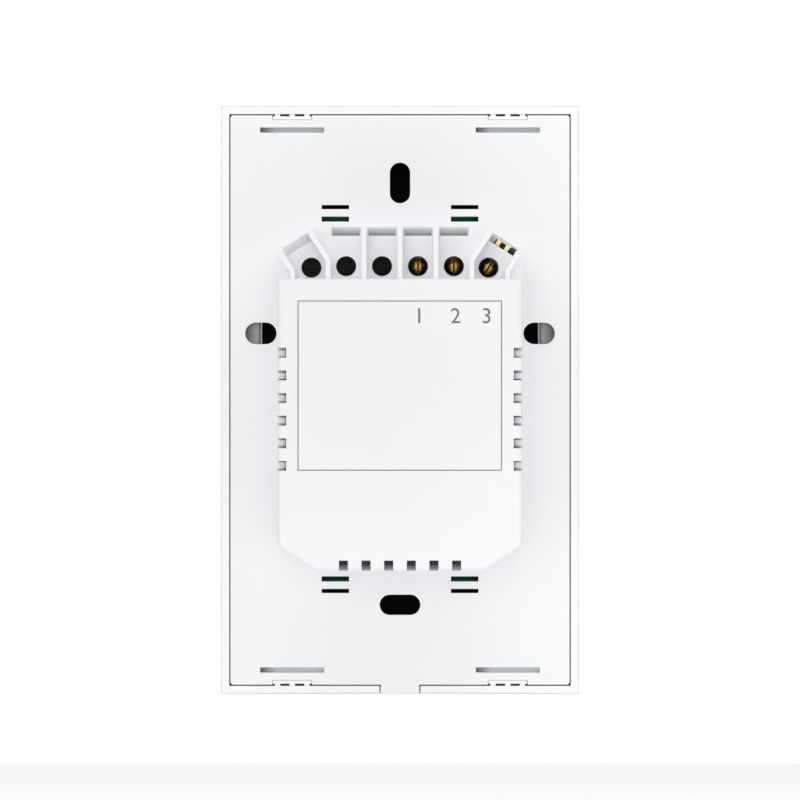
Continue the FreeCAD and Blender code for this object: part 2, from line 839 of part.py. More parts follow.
    channels = new_sketch(body, "clip_channels")
    for side in ("", "-"):
        left = f"{side}clip_spacing / 2 - clip_channel_width / 2"
        right = f"{side}clip_spacing / 2 + clip_channel_width / 2"
        inner = "shell_half_height - clip_channel_depth"
        rectangle(channels, left, right, inner, "shell_half_height + overrun")
        rectangle(channels, left, right, "-shell_half_height - overrun", f"-({inner})")
    pocket(body, channels, "plate_thickness + skirt_depth", FRONT)

    add_board_catches(body)
    return body


def build_bezel():
    """The frame round the base, with its flange for the glass and four comb-shaped clips."""
    body = new_body("bezel_frame")
    outline = new_sketch(body, "cover")
    rectangle(outline, "-cover_width / 2", "cover_width / 2", "-cover_height / 2", "cover_height / 2")
    pad(body, outline, "bezel_depth")
    fillet(body, "cover_corner", "cover_corner", upright_edge)
    hollow = new_sketch(body, "hollow")
    rectangle(hollow, "-bezel_half_width", "bezel_half_width", "-bezel_half_height", "bezel_half_height")
    pocket(body, hollow, "bezel_depth - flange_thickness", FRONT)
    window = new_sketch(body, "window", "-bezel_depth")
    rectangle(window, "-window_width / 2", "window_width / 2", "-window_height / 2", "window_height / 2")
    pocket(body, window, "flange_thickness")
    window_side = number("window_width / 2")
    fillet(
        body,
        "window_corner",
        "window_corner",
        lambda edge: upright_edge(edge) and abs(abs(edge.CenterOfMass.x) - window_side) < 0.01,
    )
    flange = -number("bezel_depth - flange_thickness")
    window_end = number("window_height / 2")
    chamfer(
        body,
        "window_edge",
        "window_edge",
        lambda edge: abs(edge.BoundBox.YMin - flange) < 0.001
        and abs(edge.BoundBox.YMax - flange) < 0.001
        and max(abs(edge.BoundBox.XMin), abs(edge.BoundBox.XMax)) < window_side + 0.01
        and max(abs(edge.BoundBox.ZMin), abs(edge.BoundBox.ZMax)) < window_end + 0.01,
    )
    inner_side = number("bezel_half_width")
    inner_end = number("bezel_half_height")
    chamfer(
        body,
        "rear_rim",
        "rim_edge",
        lambda edge: edge.BoundBox.YMin > -0.001
        and (
            edge.BoundBox.XMax > inner_side + 0.1
            or edge.BoundBox.XMin < -inner_side - 0.1
            or edge.BoundBox.ZMax > inner_end + 0.1
            or edge.BoundBox.ZMin < -inner_end - 0.1
        ),
    )
    notch = new_sketch(body, "tongue_notch")
    half = "tongue_width / 2 + tongue_gap"
    rectangle(notch, f"-({half})", half, "-cover_height / 2 - overrun", "-bezel_half_height + overrun")
    pocket(body, notch, "plate_thickness + tongue_gap", FRONT)
    clips = new_sketch(body, "clips", "-clip_setback")
    for side in ("", "-"):
        for end in ("", "-"):
            polygon(clips, clip_corners(side, end))
    pad(body, clips, "clip_depth")
    return body


def clip_corners(side, end):
    """A comb-shaped clip: a bar that stands off the frame's wall on three ribs."""
    bar_low = "shell_half_height - clip_channel_depth + clip_bar_gap"
    bar_high = f"{bar_low} + clip_bar"
    wall = "bezel_half_height + clip_root"
    reach = "clip_width / 2"
    outer = "clip_width / 2 - clip_corner"
    beside = "clip_width / 2 - clip_corner - clip_rib"
    rib = "clip_rib / 2"
    half = [
        (rib, wall),
        (rib, bar_high),
        (beside, bar_high),
        (beside, wall),
        (outer, wall),
        (outer, bar_high),
        (reach, bar_high),
        (reach, bar_low),
    ]
    corners = [(f"({across})", up) for across, up in half]
    corners += [(f"(-({across}))", up) for across, up in half[::-1]]
    middle = f"{side}clip_spacing / 2"
    return [(f"{middle} + {across}", f"{end}({up})") for across, up in corners]


def build_front():
    """The glass with its printed mask, the light guide, the touch board and its parts."""
    glass = new_body("glass_panel")
    outline = new_sketch(glass, "pane", "-bezel_depth")
    rectangle(outline, "-cover_width / 2", "cover_width / 2", "-cover_height / 2", "cover_height / 2")
    pad(glass, outline, "glass_thickness")
    fillet(glass, "cover_corner", "cover_corner", upright_edge)
    face = -number("bezel_depth + glass_thickness")
    fillet(glass, "front", "glass_edge", lambda edge: edge.BoundBox.YMax < face + 0.001)

    mask = new_body("light_mask")
    film = new_sketch(mask, "film", "-mask_face")
    side = "window_width / 2 - mask_inset"
    end = "window_height / 2 - mask_inset"
    rectangle(film, f"-({side})", side, f"-({end})", end)
    pad(mask, film, "mask_thickness")
    fillet(mask, "corner", "window_corner - mask_inset", upright_edge)
    windows = new_sketch(mask, "light_windows", "-mask_face")
    for place_up in led_places():
        square(windows, "led_place", place_up, "led_window")
    pocket(mask, windows, "mask_thickness", FRONT)

    board = new_body("touch_board")
    sheet_outline = new_sketch(board, "sheet", "-touch_board_rear")
    low = "touch_board_offset - touch_board_height / 2"
    high = "touch_board_offset + touch_board_height / 2"
    rectangle(sheet_outline, "-touch_board_width / 2", "touch_board_width / 2", low, high)
    pad(board, sheet_outline, "board_thickness")

    guide = new_body("light_guide")
    block = new_sketch(guide, "block", "-touch_board_front")
    rectangle(block, "-guide_width / 2", "guide_width / 2", "-guide_height / 2", "guide_height / 2")
    pad(guide, block, "guide_thickness")
    wells = new_sketch(guide, "wells", "-touch_board_front")
    for spring_up in spring_places():
        square(wells, "0", spring_up, "spring_well")
    for led_up in led_places():
        square(wells, "led_place", led_up, "led_well")
    pocket(guide, wells, "guide_thickness", FRONT)
    pieces = [glass, mask, board, guide]

    for index, spring_up in enumerate(spring_places(), start=1):
        pieces.append(build_spring(index, spring_up))
    for index, led_up in enumerate(led_places(), start=1):
        led = new_body(f"level_led_{index}")
        chip = new_sketch(led, "chip")
        rectangle(chip, "-led_length / 2", "led_length / 2", "-led_width / 2", "led_width / 2")
        pad(led, chip, "led_height")
        place(led, "led_place", "-touch_board_front", led_up)
        pieces.append(led)
    return pieces


def led_places():
    """Heights of the five level lights, from the lowest."""
    return [f"led_pitch * ({step})" for step in (-2, -1, 0, 1, 2)]


def spring_places():
    """Heights of the three touch springs, from the lowest."""
    return [f"pad_spacing * ({step})" for step in (-1, 0, 1)]


def build_spring(index, spring_up):
    """A touch spring between the board and the mask, as the sleeve that its coils fill."""
    body = new_body(f"touch_spring_{index}")
    outer = "spring_diameter / 2"
    inner = "spring_diameter / 2 - spring_wire"
    height = "mask_face - spring_gap - touch_board_front"
    turned(body, [(inner, "0"), (outer, "0"), (outer, height), (inner, height)])
    place(body, "0", "-(mask_face - spring_gap)", spring_up)
    return body


def build_block(name, at, towards=REAR):
    """A plain part on a board, from the face it sits on."""
    body = new_body(name)
    sketch = new_sketch(body, "side")
    half_width = f"{name}_width / 2"
    half_height = f"{name}_height / 2"
    rectangle(sketch, f"-{half_width}", half_width, f"-{half_height}", half_height)
    pad(body, sketch, f"{name}_depth", towards)
    place(body, f"{name}_across", at, f"{name}_up")
    return body


def build_blocks():
    """The box-shaped parts of both boards."""
    touch_face = "-touch_board_rear"
    pieces = [
        build_block("touch_chip", touch_face),
        build_block("wireless_module", touch_face),
        build_block("shield_can", f"{touch_face} + wireless_module_depth"),
        build_block("header_socket", touch_face),
        build_block("header_plug", "power_board_front", FRONT),
        build_block("film_capacitor", "power_board_seat"),
        build_block("bridge_rectifier", "power_board_seat"),
        build_block("driver_chip", "power_board_seat"),
    ]
    return pieces


def build_power_board():
    """The board that fills the housing, and the four screws that hold it to the posts."""
    board = new_body("power_board")
    outline = new_sketch(board, "sheet", "power_board_seat")
    polygon(outline, cavity_corners(inset="board_inset"))
    pad(board, outline, "board_thickness")
    holes = new_sketch(board, "screw_holes", "power_board_seat")
    for across, up in post_places():
        circle(holes, across, up, "board_screw / 2 + screw_clearance")
    pocket(board, holes, "board_thickness", FRONT)

    screws = new_body("power_board_screws")
    shafts = new_sketch(screws, "shafts", "power_board_front")
    heads = new_sketch(screws, "heads", "power_board_front")
    for across, up in post_places():
        hexagon(shafts, across, up, "board_screw / 2")
        circle(heads, across, up, "board_screw_head / 2")
    pad(screws, shafts, "board_screw_length", REAR)
    pad(screws, heads, "board_screw_head_height")
    return [board, screws]


def build_capacitor(index):
    """An upright round can in its sleeve."""
    body = new_body(f"bulk_capacitor_{index}")
    radius = "capacitor_diameter / 2"
    height = f"capacitor_height_{index}"
    turned(body, [("0", "0"), (radius, "0"), (radius, height), ("0", height)])
    place(body, f"capacitor_across_{index}", "power_board_seat", f"capacitor_up_{index}")
    return body


def build_transformer():
    """The transformer's core of two halves with three legs, and its coil round the middle leg."""
    core = new_body("transformer_core")
    outline = new_sketch(core, "side", plane="XY_Plane", at="-core_thickness / 2")
    rectangle(outline, "-core_width / 2", "core_width / 2", "0", "core_height")
    pad(core, outline, "core_thickness")
    windows = new_sketch(core, "windows", plane="XY_Plane", at="core_thickness / 2")
    low = "(core_height - core_window_height) / 2"
    high = "(core_height + core_window_height) / 2"
    near = "core_leg / 2"
    far = "(core_leg / 2 + core_window_width)"
    rectangle(windows, near, far, low, high)
    rectangle(windows, f"-{far}", f"-{near}", low, high)
    pocket(core, windows, "core_thickness")
    place(core, "transformer_across", "power_board_seat", "transformer_up")

    coil = new_body("transformer_coil")
    low_end = "(core_height - core_window_height) / 2 + coil_play"
    length = "core_window_height - 2 * coil_play"
    turns = new_sketch(coil, "turns", low_end)
    rectangle(turns, "-coil_width / 2", "coil_width / 2", "-coil_thickness / 2", "coil_thickness / 2")
    pad(coil, turns, length, REAR)
    across_corner = number("coil_width / 2")
    fillet(
        coil,
        "turns",
        "coil_round",
        lambda edge: upright_edge(edge) and abs(abs(edge.CenterOfMass.x) - across_corner) < 0.01,
    )
    hole = new_sketch(coil, "hole", low_end)
    half_width = "(core_leg / 2 + coil_gap)"
    half_height = "(core_thickness / 2 + coil_gap)"
    rectangle(hole, f"-{half_width}", half_width, f"-{half_height}", half_height)
    pocket(coil, hole, length, REAR)
    place(coil, "transformer_across", "power_board_seat", "transformer_up")
    return [core, coil]


def build_varistor():
    """A disc on two leads."""
    body = new_body("varistor")
    disc = new_sketch(body, "disc", plane="XY_Plane", at="-varistor_thickness / 2")
    circle(disc, "0", "varistor_middle - power_board_seat", "varistor_diameter / 2")
    pad(body, disc, "varistor_thickness")
    leads = new_sketch(body, "leads")
    for side in ("", "-"):
        square(leads, f"{side}varistor_lead_spacing / 2", "0", "varistor_lead")
    pad(body, leads, "varistor_lift + varistor_diameter / 4", REAR)
    place(body, "varistor_across", "power_board_seat", "varistor_up")
    return body


def build_choke():
    """A wound ring that lies on the board."""
    body = new_body("line_choke")
    inner = "choke_radius - choke_ring"
    outer = "choke_radius + choke_ring"
    turned(body, [(inner, "0"), (outer, "0"), (outer, "choke_height"), (inner, "choke_height")])
    place(body, "choke_across", "power_board_seat", "choke_up")
    return body


def build_fuse():
    """A small square fuse that lies on the board between two end caps."""
    body = new_body("board_fuse")
    block = new_sketch(body, "block", plane="YZ_Plane", at="-fuse_length / 2")
    square(block, "fuse_middle", "0", "fuse_width - 2 * fuse_cap_wall")
    pad(body, block, "fuse_length")
    for side, at in (("left", "-fuse_length / 2"), ("right", "fuse_length / 2 - fuse_cap")):
        cap = new_sketch(body, f"{side}_cap", plane="YZ_Plane", at=at)
        square(cap, "fuse_middle", "0", "fuse_width")
        pad(body, cap, "fuse_cap")
    place(body, "fuse_across", "0", "fuse_up")
    return body


def build_heat_sink():
    """The finned heat sink, the two transistors against it, and their screws."""
    sink = new_body("heat_sink")
    base = new_sketch(sink, "base", "power_board_seat")
    rectangle(base, "-sink_face - sink_base", "-sink_face", "sink_low", "sink_high")
    pad(sink, base, "sink_height", REAR)
    fins = new_sketch(sink, "fins", "power_board_seat")
    for step in range(SINK_FINS):
        low = f"sink_low + (sink_high - sink_low - sink_fin) * {step} / {SINK_FINS - 1}"
        rectangle(fins, "-sink_face - sink_depth", "-sink_face - sink_base / 2", low, f"{low} + sink_fin")
    pad(sink, fins, "sink_height", REAR)
    bores = new_sketch(sink, "bores", plane="YZ_Plane", at="-sink_face")
    for index in (1, 2):
        circle(bores, "transistor_bore", f"transistor_up_{index}", "transistor_screw / 2 + screw_clearance")
    pocket(sink, bores, "sink_base")
    pieces = [sink]

    for index in (1, 2):
        body = new_body(f"transistor_{index}")
        case = new_sketch(body, "case", "transistor_foot")
        half = "transistor_width / 2"
        rectangle(case, "-sink_face", "-sink_face + transistor_thickness", f"-{half}", half)
        pad(body, case, "transistor_height", REAR)
        legs = new_sketch(body, "legs", "power_board_seat")
        for step in (-1, 0, 1):
            place_up = f"transistor_leg_pitch * ({step})"
            square(legs, "-sink_face + transistor_leg_place", place_up, "transistor_leg")
        pad(body, legs, "transistor_legs", REAR)
        hole = new_sketch(body, "hole", plane="YZ_Plane", at="-sink_face + transistor_thickness")
        circle(hole, "transistor_bore", "0", "transistor_screw / 2 + screw_clearance")
        pocket(body, hole, "transistor_thickness")
        place(body, "0", "0", f"transistor_up_{index}")
        pieces.append(body)

    screws = new_body("transistor_screws")
    shafts = new_sketch(screws, "shafts", plane="YZ_Plane", at="-sink_face - sink_base")
    heads = new_sketch(screws, "heads", plane="YZ_Plane", at="-sink_face + transistor_thickness")
    for index in (1, 2):
        place_up = f"transistor_up_{index}"
        hexagon(shafts, "transistor_bore", place_up, "transistor_screw / 2")
        circle(heads, "transistor_bore", place_up, "transistor_screw_head / 2")
    pad(screws, shafts, "sink_base + transistor_thickness")
    pad(screws, heads, "transistor_screw_head_height")
    pieces.append(screws)
    return pieces


def terminal_places():
    """The three fitted terminals: across, up and lean."""
    return [
        ("-bay_pitch / 2", "bay_height", "0"),
        ("-bay_pitch * 3 / 2", "bay_height", "0"),
        ("-outer_bay_place", "outer_bay_height", "bay_turn"),
    ]


def build_bracket(index):
    """The brass contact: a bar with two tines, on a leg that stands on the board."""
    body = new_body(f"contact_bracket_{index}")
    bar = new_sketch(body, "bar", "contact_top")
    half = "contact_width / 2"
    rectangle(bar, f"-{half}", half, "-contact_heel", "contact_reach")
    pad(body, bar, "contact_bar")
    tines = new_sketch(body, "tines", "contact_top")
    for side in ("", "-"):
        middle = f"{side}contact_tine_spacing / 2"
        rectangle(
            tines,
            f"{middle} - contact_tine_width / 2",
            f"{middle} + contact_tine_width / 2",
            "contact_reach - contact_root",
            "contact_reach + contact_tine",
        )
    pad(body, tines, "contact_bar")
    leg = new_sketch(body, "leg", "contact_top")
    rectangle(leg, f"-{half}", half, "-contact_heel", "-contact_heel + cage_sheet")
    pad(body, leg, "contact_top - power_board_seat")
    return body


def build_cage(index):
    """The nickel cage that the screw draws up against the contact bar."""
    body = new_body(f"clamp_cage_{index}")
    half = "cage_width / 2"
    block = new_sketch(body, "block", "cage_bottom")
    rectangle(block, f"-{half}", half, "-cage_back", "cage_front")
    pad(body, block, "cage_top - cage_bottom", REAR)
    ring = new_sketch(body, "ring", plane="XY_Plane", at="cage_front")
    inner = f"{half} - cage_sheet"
    rectangle(ring, f"-({inner})", inner, "cage_bottom + cage_sheet", "cage_top - cage_head")
    pocket(body, ring, "cage_front + cage_back")
    lip = new_sketch(body, "lip", "cage_bottom")
    rectangle(lip, f"-({inner})", inner, "cage_front - cage_lip_root", "cage_lip")
    pad(body, lip, "cage_sheet", REAR)
    hole = new_sketch(body, "thread", "cage_top")
    circle(hole, "0", "0", "clamp_screw / 2 + screw_clearance")
    pocket(body, hole, "cage_head", FRONT)
    return body


def build_clamp_screw(index):
    """The slotted brass screw of a terminal."""
    body = new_body(f"clamp_screw_{index}")
    shaft = "clamp_screw / 2"
    head = "clamp_screw_head / 2"
    tip = "contact_top + clamp_tip_gap"
    corners = [
        ("0", tip),
        (shaft, tip),
        (shaft, "head_seat"),
        (head, "head_seat"),
        (head, "head_top"),
        ("0", "head_top"),
    ]
    turned(body, corners)
    cut = new_sketch(body, "driver_slot", "head_top")
    half = "clamp_screw_slot / 2"
    rectangle(cut, f"-{half}", half, f"-{head} - overrun", f"{head} + overrun")
    pocket(body, cut, "clamp_screw_slot_depth", FRONT)
    return body


def build_terminals():
    """Bracket, cage and screw of the three fitted terminals."""
    pieces = []
    for index, (across, up, lean) in enumerate(terminal_places(), start=1):
        for build in (build_bracket, build_cage, build_clamp_screw):
            body = build(index)
            place(body, across, "0", up, lean)
            pieces.append(body)
    return pieces


def write_pieces(pieces):
    """Check the whole document, then write every piece to a file under its own name."""
    doc.removeObject("bench")
    doc.recompute()
    for item in doc.Objects:
        if "Invalid" in item.State or "Error" in item.State:
            raise ValueError(f"{item.Label} is in error")
    for body in pieces:
        shape = body.Shape
        if shape.isNull() or not shape.isValid() or not shape.Solids:
            raise ValueError(f"{body.Label} is not a sound solid")
    os.makedirs("parts", exist_ok=True)
    for body in pieces:
        body.Shape.exportStep(f"parts/{body.Label}.step")


fill_sheets()
pieces = [build_rear_shell(), build_bezel()]
pieces += build_front()
pieces += build_blocks()
pieces += build_power_board()
pieces += [build_capacitor(1), build_capacitor(2)]
pieces += build_transformer()
pieces += [build_varistor(), build_choke(), build_fuse()]
pieces += build_heat_sink()
pieces += build_terminals()
write_pieces(pieces)
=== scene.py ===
"""Looks of a wall-mounted touch dimmer, seen from the back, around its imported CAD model."""

import logging
import math
from dataclasses import dataclass
from enum import Enum
from typing import Callable, Iterable, Sequence

import bmesh
import bpy
from mathutils import Matrix, Vector


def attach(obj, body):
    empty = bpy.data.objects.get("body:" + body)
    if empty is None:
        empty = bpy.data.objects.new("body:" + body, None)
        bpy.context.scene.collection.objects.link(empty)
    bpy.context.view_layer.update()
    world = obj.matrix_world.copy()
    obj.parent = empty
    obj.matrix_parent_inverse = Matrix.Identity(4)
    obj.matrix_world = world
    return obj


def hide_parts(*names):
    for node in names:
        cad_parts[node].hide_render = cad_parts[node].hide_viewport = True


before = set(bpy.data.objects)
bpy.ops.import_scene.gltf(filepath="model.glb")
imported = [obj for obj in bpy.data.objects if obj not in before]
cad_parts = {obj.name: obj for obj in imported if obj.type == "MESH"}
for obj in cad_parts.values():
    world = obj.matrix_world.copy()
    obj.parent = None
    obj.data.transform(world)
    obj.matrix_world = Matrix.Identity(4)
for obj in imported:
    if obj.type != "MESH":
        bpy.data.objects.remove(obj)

log = logging.getLogger("dimmer")

MM = 0.001
Colour = tuple[float, float, float]
Point = tuple[float, float, float]
Span = tuple[float, float]
Piece = bpy.types.Object
Socket = bpy.types.NodeSocket


class Body(Enum):
    """Bodies of the CAD model that a piece can ride on."""

    BASE = "base"
    COVER = "front_cover"
    SCREW_1 = "screw_1"
    SCREW_2 = "screw_2"
    SCREW_3 = "screw_3"


def at(place: Point) -> Matrix:
    """A move by millimetres."""
    return Matrix.Translation(Vector(place) * MM)


def dimmed(colour: Colour, share: float) -> Colour:
    """A share of a colour's brightness."""
    return tuple(part * share for part in colour)


class Nodes:
    """A node tree while it is put together."""

    def __init__(self, tree: bpy.types.NodeTree) -> None:
        """Keep the tree at hand."""
        self.tree = tree

    def add(self, kind: str, **inputs: object) -> bpy.types.Node:
        """Add a node and set its inputs.

        Args:
            kind: Blender's name of the node type.
            inputs: values or outgoing sockets, under the input's name with underscores.

        Returns:
            The new node.
        """
        node = self.tree.nodes.new(kind)
        for name, value in inputs.items():
            self.feed(node, name.replace("_", " "), value)
        return node

    def feed(self, node: bpy.types.Node, name: str | int, value: object) -> None:
        """Link a socket to a node's input, or set the input's value.

        Args:
            node: the node.
            name: the input's name or number.
            value: the value or outgoing socket.
        """
        if isinstance(value, Socket):
            self.tree.links.new(value, node.inputs[name])
        else:
            node.inputs[name].default_value = value

    def between(self, share: object, low: float, high: float) -> Socket:
        """A share from 0 to 1 spread over a range."""
        return self.add("ShaderNodeMapRange", Value=share, To_Min=low, To_Max=high).outputs["Result"]

    def rising(self, value: object, low: float, high: float) -> Socket:
        """A share that rises from 0 to 1 while a value crosses a range."""
        node = self.add("ShaderNodeMapRange", Value=value, From_Min=low, From_Max=high)
        return node.outputs["Result"]

    def mix(self, share: object, first: object, second: object) -> Socket:
        """Two colours mixed by a share.

        Args:
            share: how much of the second colour there is.
            first: the first colour.
            second: the second colour.

        Returns:
            The socket with the colour.
        """
        node = self.tree.nodes.new("ShaderNodeMix")
        node.data_type = "RGBA"
        for index, value in ((0, share), (6, first), (7, second)):
            self.feed(node, index, (*value, 1.0) if isinstance(value, tuple) else value)
        return node.outputs[2]

    def maths(self, operation: str, first: object, second: object = 0.0) -> Socket:
        """The result of one sum on two values.

        Args:
            operation: Blender's name of the sum.
            first: the first value.
            second: the second value.

        Returns:
            The socket with the result.
        """
        node = self.tree.nodes.new("ShaderNodeMath")
        node.operation = operation
        self.feed(node, 0, first)
        self.feed(node, 1, second)
        return node.outputs[0]


class Surface(Nodes):
    """The nodes of one material."""

    def __init__(self, name: str) -> None:
        """Start a material with a shader and an output.

        Args:
            name: name of the material.
        """
        self.material = bpy.data.materials.new(name)
        self.material.use_nodes = True
        super().__init__(self.material.node_tree)
        self.shader = self.tree.nodes["Principled BSDF"]
        self.place = self.add("ShaderNodeTexCoord").outputs["Object"]

    def finished(self, **inputs: object) -> bpy.types.Material:
        """Feed the shader.

        Args:
            inputs: values or sockets, under the input's name with underscores.

        Returns:
            The material.
        """
        for name, value in inputs.items():
            self.feed(self.shader, name.replace("_", " "), value)
        return self.material

    def noise(self, scale: float, detail: float = 2.0, stretch: Point | None = None) -> Socket:
        """Noise from 0 to 1.

        Args:
            scale: bumps per metre.
            detail: octaves.
            stretch: how far the coordinates are drawn out along each axis first.

        Returns:
            The socket with the noise.
        """
        place = self.place
        if stretch is not None:
            place = self.add("ShaderNodeMapping", Vector=place, Scale=stretch).outputs["Vector"]
        return self.add("ShaderNodeTexNoise", Vector=place, Scale=scale, Detail=detail).outputs["Fac"]

    def noted(self, name: str) -> Socket:
        """The number that each point of the mesh has under a name.

        Args:
            name: name of the attribute.

        Returns:
            The socket with the number.
        """
        node = self.add("ShaderNodeAttribute")
        node.attribute_name = name
        return node.outputs["Fac"]

    def bump(self, height: Socket, depth: float, edge: float = 0.0) -> Socket:
        """A bumped normal.

        Args:
            height: socket with the height from 0 to 1.
            depth: height of the bumps in metres.
            edge: radius in metres by which sharp edges look softened, or 0.

        Returns:
            The socket with the normal.
        """
        node = self.add("ShaderNodeBump", Height=height, Distance=depth)
        if edge:
            soft = self.add("ShaderNodeBevel", Radius=edge)
            soft.samples = 6
            self.feed(node, "Normal", soft.outputs["Normal"])
        return node.outputs["Normal"]


@dataclass(frozen=True)
class BareInside:
    """Painted shade on the front frame's inner side, deepest on its walls: where it starts across and along,
    in metres.
    """

    colour: Colour
    wall_share: float = 0.12
    face: float = -0.0003
    reach: Span = (0.03492, 0.05842)
    flange: tuple[Span, Span] = ((0.0289, 0.0312), (0.0525, 0.0548))
    wall: tuple[Span, Span] = ((0.0325, 0.0346), (0.0562, 0.0581))

    def over(self, nodes: Surface, colour: Socket) -> Socket:
        """Lay painted shade over another colour: a grey one on the flange, a much deeper one on the walls.

        Args:
            nodes: the material's nodes.
            colour: the colour of the rest.

        Returns:
            The socket with all three colours.
        """
        split = nodes.add("ShaderNodeSeparateXYZ", Vector=nodes.place).outputs
        away = [nodes.maths("ABSOLUTE", split[axis]) for axis in ("X", "Z")]
        within = [nodes.maths("LESS_THAN", side, limit) for side, limit in zip(away, self.reach)]
        deep = nodes.maths("LESS_THAN", split["Y"], self.face)
        inner = nodes.maths("MULTIPLY", deep, nodes.maths("MULTIPLY", *within))
        darker = dimmed(self.colour, self.wall_share)
        for spans, bare in ((self.flange, self.colour), (self.wall, darker)):
            rises = [nodes.rising(side, *span) for side, span in zip(away, spans)]
            share = nodes.maths("MULTIPLY", inner, nodes.maths("MAXIMUM", *rises))
            colour = nodes.mix(share, colour, bare)
        return colour


@dataclass(frozen=True)
class Plastic:
    """A moulded plastic: colour, sheen, and the fine grain that the mould leaves."""

    name: str
    colour: Colour
    roughness: float = 0.4
    shade: float = 0.03
    grain: float = 9000.0
    depth: float = 0.000004
    edge: float = 0.00012
    specular: float = 0.5
    # painted shade laid over the inner side, where a finish has it
    bare: BareInside | None = None
    clouds: float = 60.0
    spread: float = 0.05

    def make(self) -> bpy.types.Material:
        """Build the material.

        Returns:
            The material.
        """
        nodes = Surface(self.name)
        cloud = nodes.noise(self.clouds, 3.0)
        colour = nodes.mix(cloud, dimmed(self.colour, 1 - self.shade), self.colour)
        # the base colour carries the painted shade of the inner side, where there is one
        return nodes.finished(
            Base_Color=self.bare.over(nodes, colour) if self.bare else colour,
            Roughness=nodes.between(cloud, self.roughness - self.spread, self.roughness + self.spread),
            Specular_IOR_Level=self.specular,
            Normal=nodes.bump(nodes.noise(self.grain), self.depth, self.edge),
        )


@dataclass(frozen=True)
class Graded:
    """Painted shade on a dull surface: it runs from a dark colour to a lighter one with the attribute named
    share.
    """

    name: str
    first: Colour
    second: Colour
    roughness: float = 0.6
    specular: float = 0.1
    clouds: float = 900.0
    spread: float = 0.12

    def make(self) -> bpy.types.Material:
        """Build the material.

        Returns:
            The material.
        """
        nodes = Surface(self.name)
        cloud = nodes.between(nodes.noise(self.clouds, 3.0), -self.spread, self.spread)
        share = nodes.maths("ADD", nodes.noted("share"), cloud)
        return nodes.finished(
            Base_Color=nodes.mix(share, self.first, self.second),
            Roughness=self.roughness,
            Specular_IOR_Level=self.specular,
        )


@dataclass(frozen=True)
class Metal:
    """A bare or plated metal, with drawn, turned or tumbled marks."""

    name: str
    colour: Colour
    roughness: float = 0.3
    marks: Point = (2000.0, 2000.0, 2000.0)
    depth: float = 0.000006
    edge: float = 0.00008
    tarnish: float = 0.25
    stains: float = 500.0
    smoother: float = 0.08
    rougher: float = 0.12

    def make(self) -> bpy.types.Material:
        """Build the material.

        Returns:
            The material.
        """
        nodes = Surface(self.name)
        dull = dimmed(self.colour, 1 - self.tarnish)
        marks = nodes.noise(1.0, 3.0, self.marks)
        return nodes.finished(
            Base_Color=nodes.mix(nodes.noise(self.stains, 4.0), dull, self.colour),
            Metallic=1.0,
            Roughness=nodes.between(marks, self.roughness - self.smoother, self.roughness + self.rougher),
            Normal=nodes.bump(marks, self.depth, self.edge),
        )


@dataclass(frozen=True)
class BoardFinish:
    """A circuit board: solder mask over copper tracks."""

    name: str
    mask: Colour
    track: Colour
    pitch: float = 0.0016
    specular: float = 0.02
    track_share: float = 0.14
    run_share: float = 5.5
    relief: float = 0.00002

    def make(self) -> bpy.types.Material:
        """Build the material.

        Returns:
            The material.
        """
        nodes = Surface(self.name)
        flat = (math.radians(90), 0, 0)
        turned = nodes.add("ShaderNodeMapping", Vector=nodes.place, Rotation=flat)
        bricks = nodes.add(
            "ShaderNodeTexBrick",
            Vector=turned.outputs["Vector"],
            Scale=1.0,
            Mortar_Size=self.pitch * self.track_share,
            Brick_Width=self.pitch * self.run_share,
            Row_Height=self.pitch,
        )
        lines = bricks.outputs["Fac"]
        return nodes.finished(
            Base_Color=nodes.mix(lines, self.mask, self.track),
            Roughness=nodes.between(nodes.noise(300.0), 0.25, 0.4),
            Specular_IOR_Level=self.specular,
            Normal=nodes.bump(lines, self.relief),
        )


@dataclass(frozen=True)
class Winding:
    """Wire or tape wound in layers along one axis."""

    name: str
    colour: Colour
    gap: Colour
    axis: str = "Z"
    pitch: float = 0.0005
    roughness: float = 0.35
    relief: float = 0.00008
    waves: float = 0.314

    def make(self) -> bpy.types.Material:
        """Build the material.

        Returns:
            The material.
        """
        nodes = Surface(self.name)
        wave = nodes.add("ShaderNodeTexWave", Vector=nodes.place, Scale=self.waves / self.pitch)
        wave.bands_direction = self.axis
        turns = wave.outputs["Fac"]
        return nodes.finished(
            Base_Color=nodes.mix(turns, self.gap, self.colour),
            Roughness=nodes.between(nodes.noise(900.0), self.roughness, 0.5),
            Normal=nodes.bump(turns, self.relief),
        )


@dataclass(frozen=True)
class HandledBrass:
    """Brass with a painted highlight beside the driver's slot and painted shade towards the rim."""

    name: str
    # bright is the painted highlight's colour, dark the painted shade's
    bright: Colour
    dark: Colour
    roughness: float = 0.22
    streaks: Point = (700.0, 700.0, 5200.0)
    streak_range: Span = (0.36, 0.64)
    spread: Span = (-0.4, 0.3)
    clear_range: Span = (0.15, 0.85)
    depth: float = 0.00003

    def make(self) -> bpy.types.Material:
        """Build the material. It reads each point's painted highlight and shade from the mesh attribute that
        the screw notes.

        Returns:
            The material.
        """
        nodes = Surface(self.name)
        streaks = nodes.noise(1.0, 3.0, self.streaks)
        spread = nodes.between(nodes.rising(streaks, *self.streak_range), *self.spread)
        # painted highlight and shade, broken up by the turning streaks
        share = nodes.rising(nodes.maths("ADD", nodes.noted("wear"), spread), *self.clear_range)
        return nodes.finished(
            Base_Color=nodes.mix(share, self.dark, self.bright),
            Metallic=1.0,
            Roughness=nodes.between(streaks, self.roughness, 0.45),
            Normal=nodes.bump(streaks, self.depth),
        )


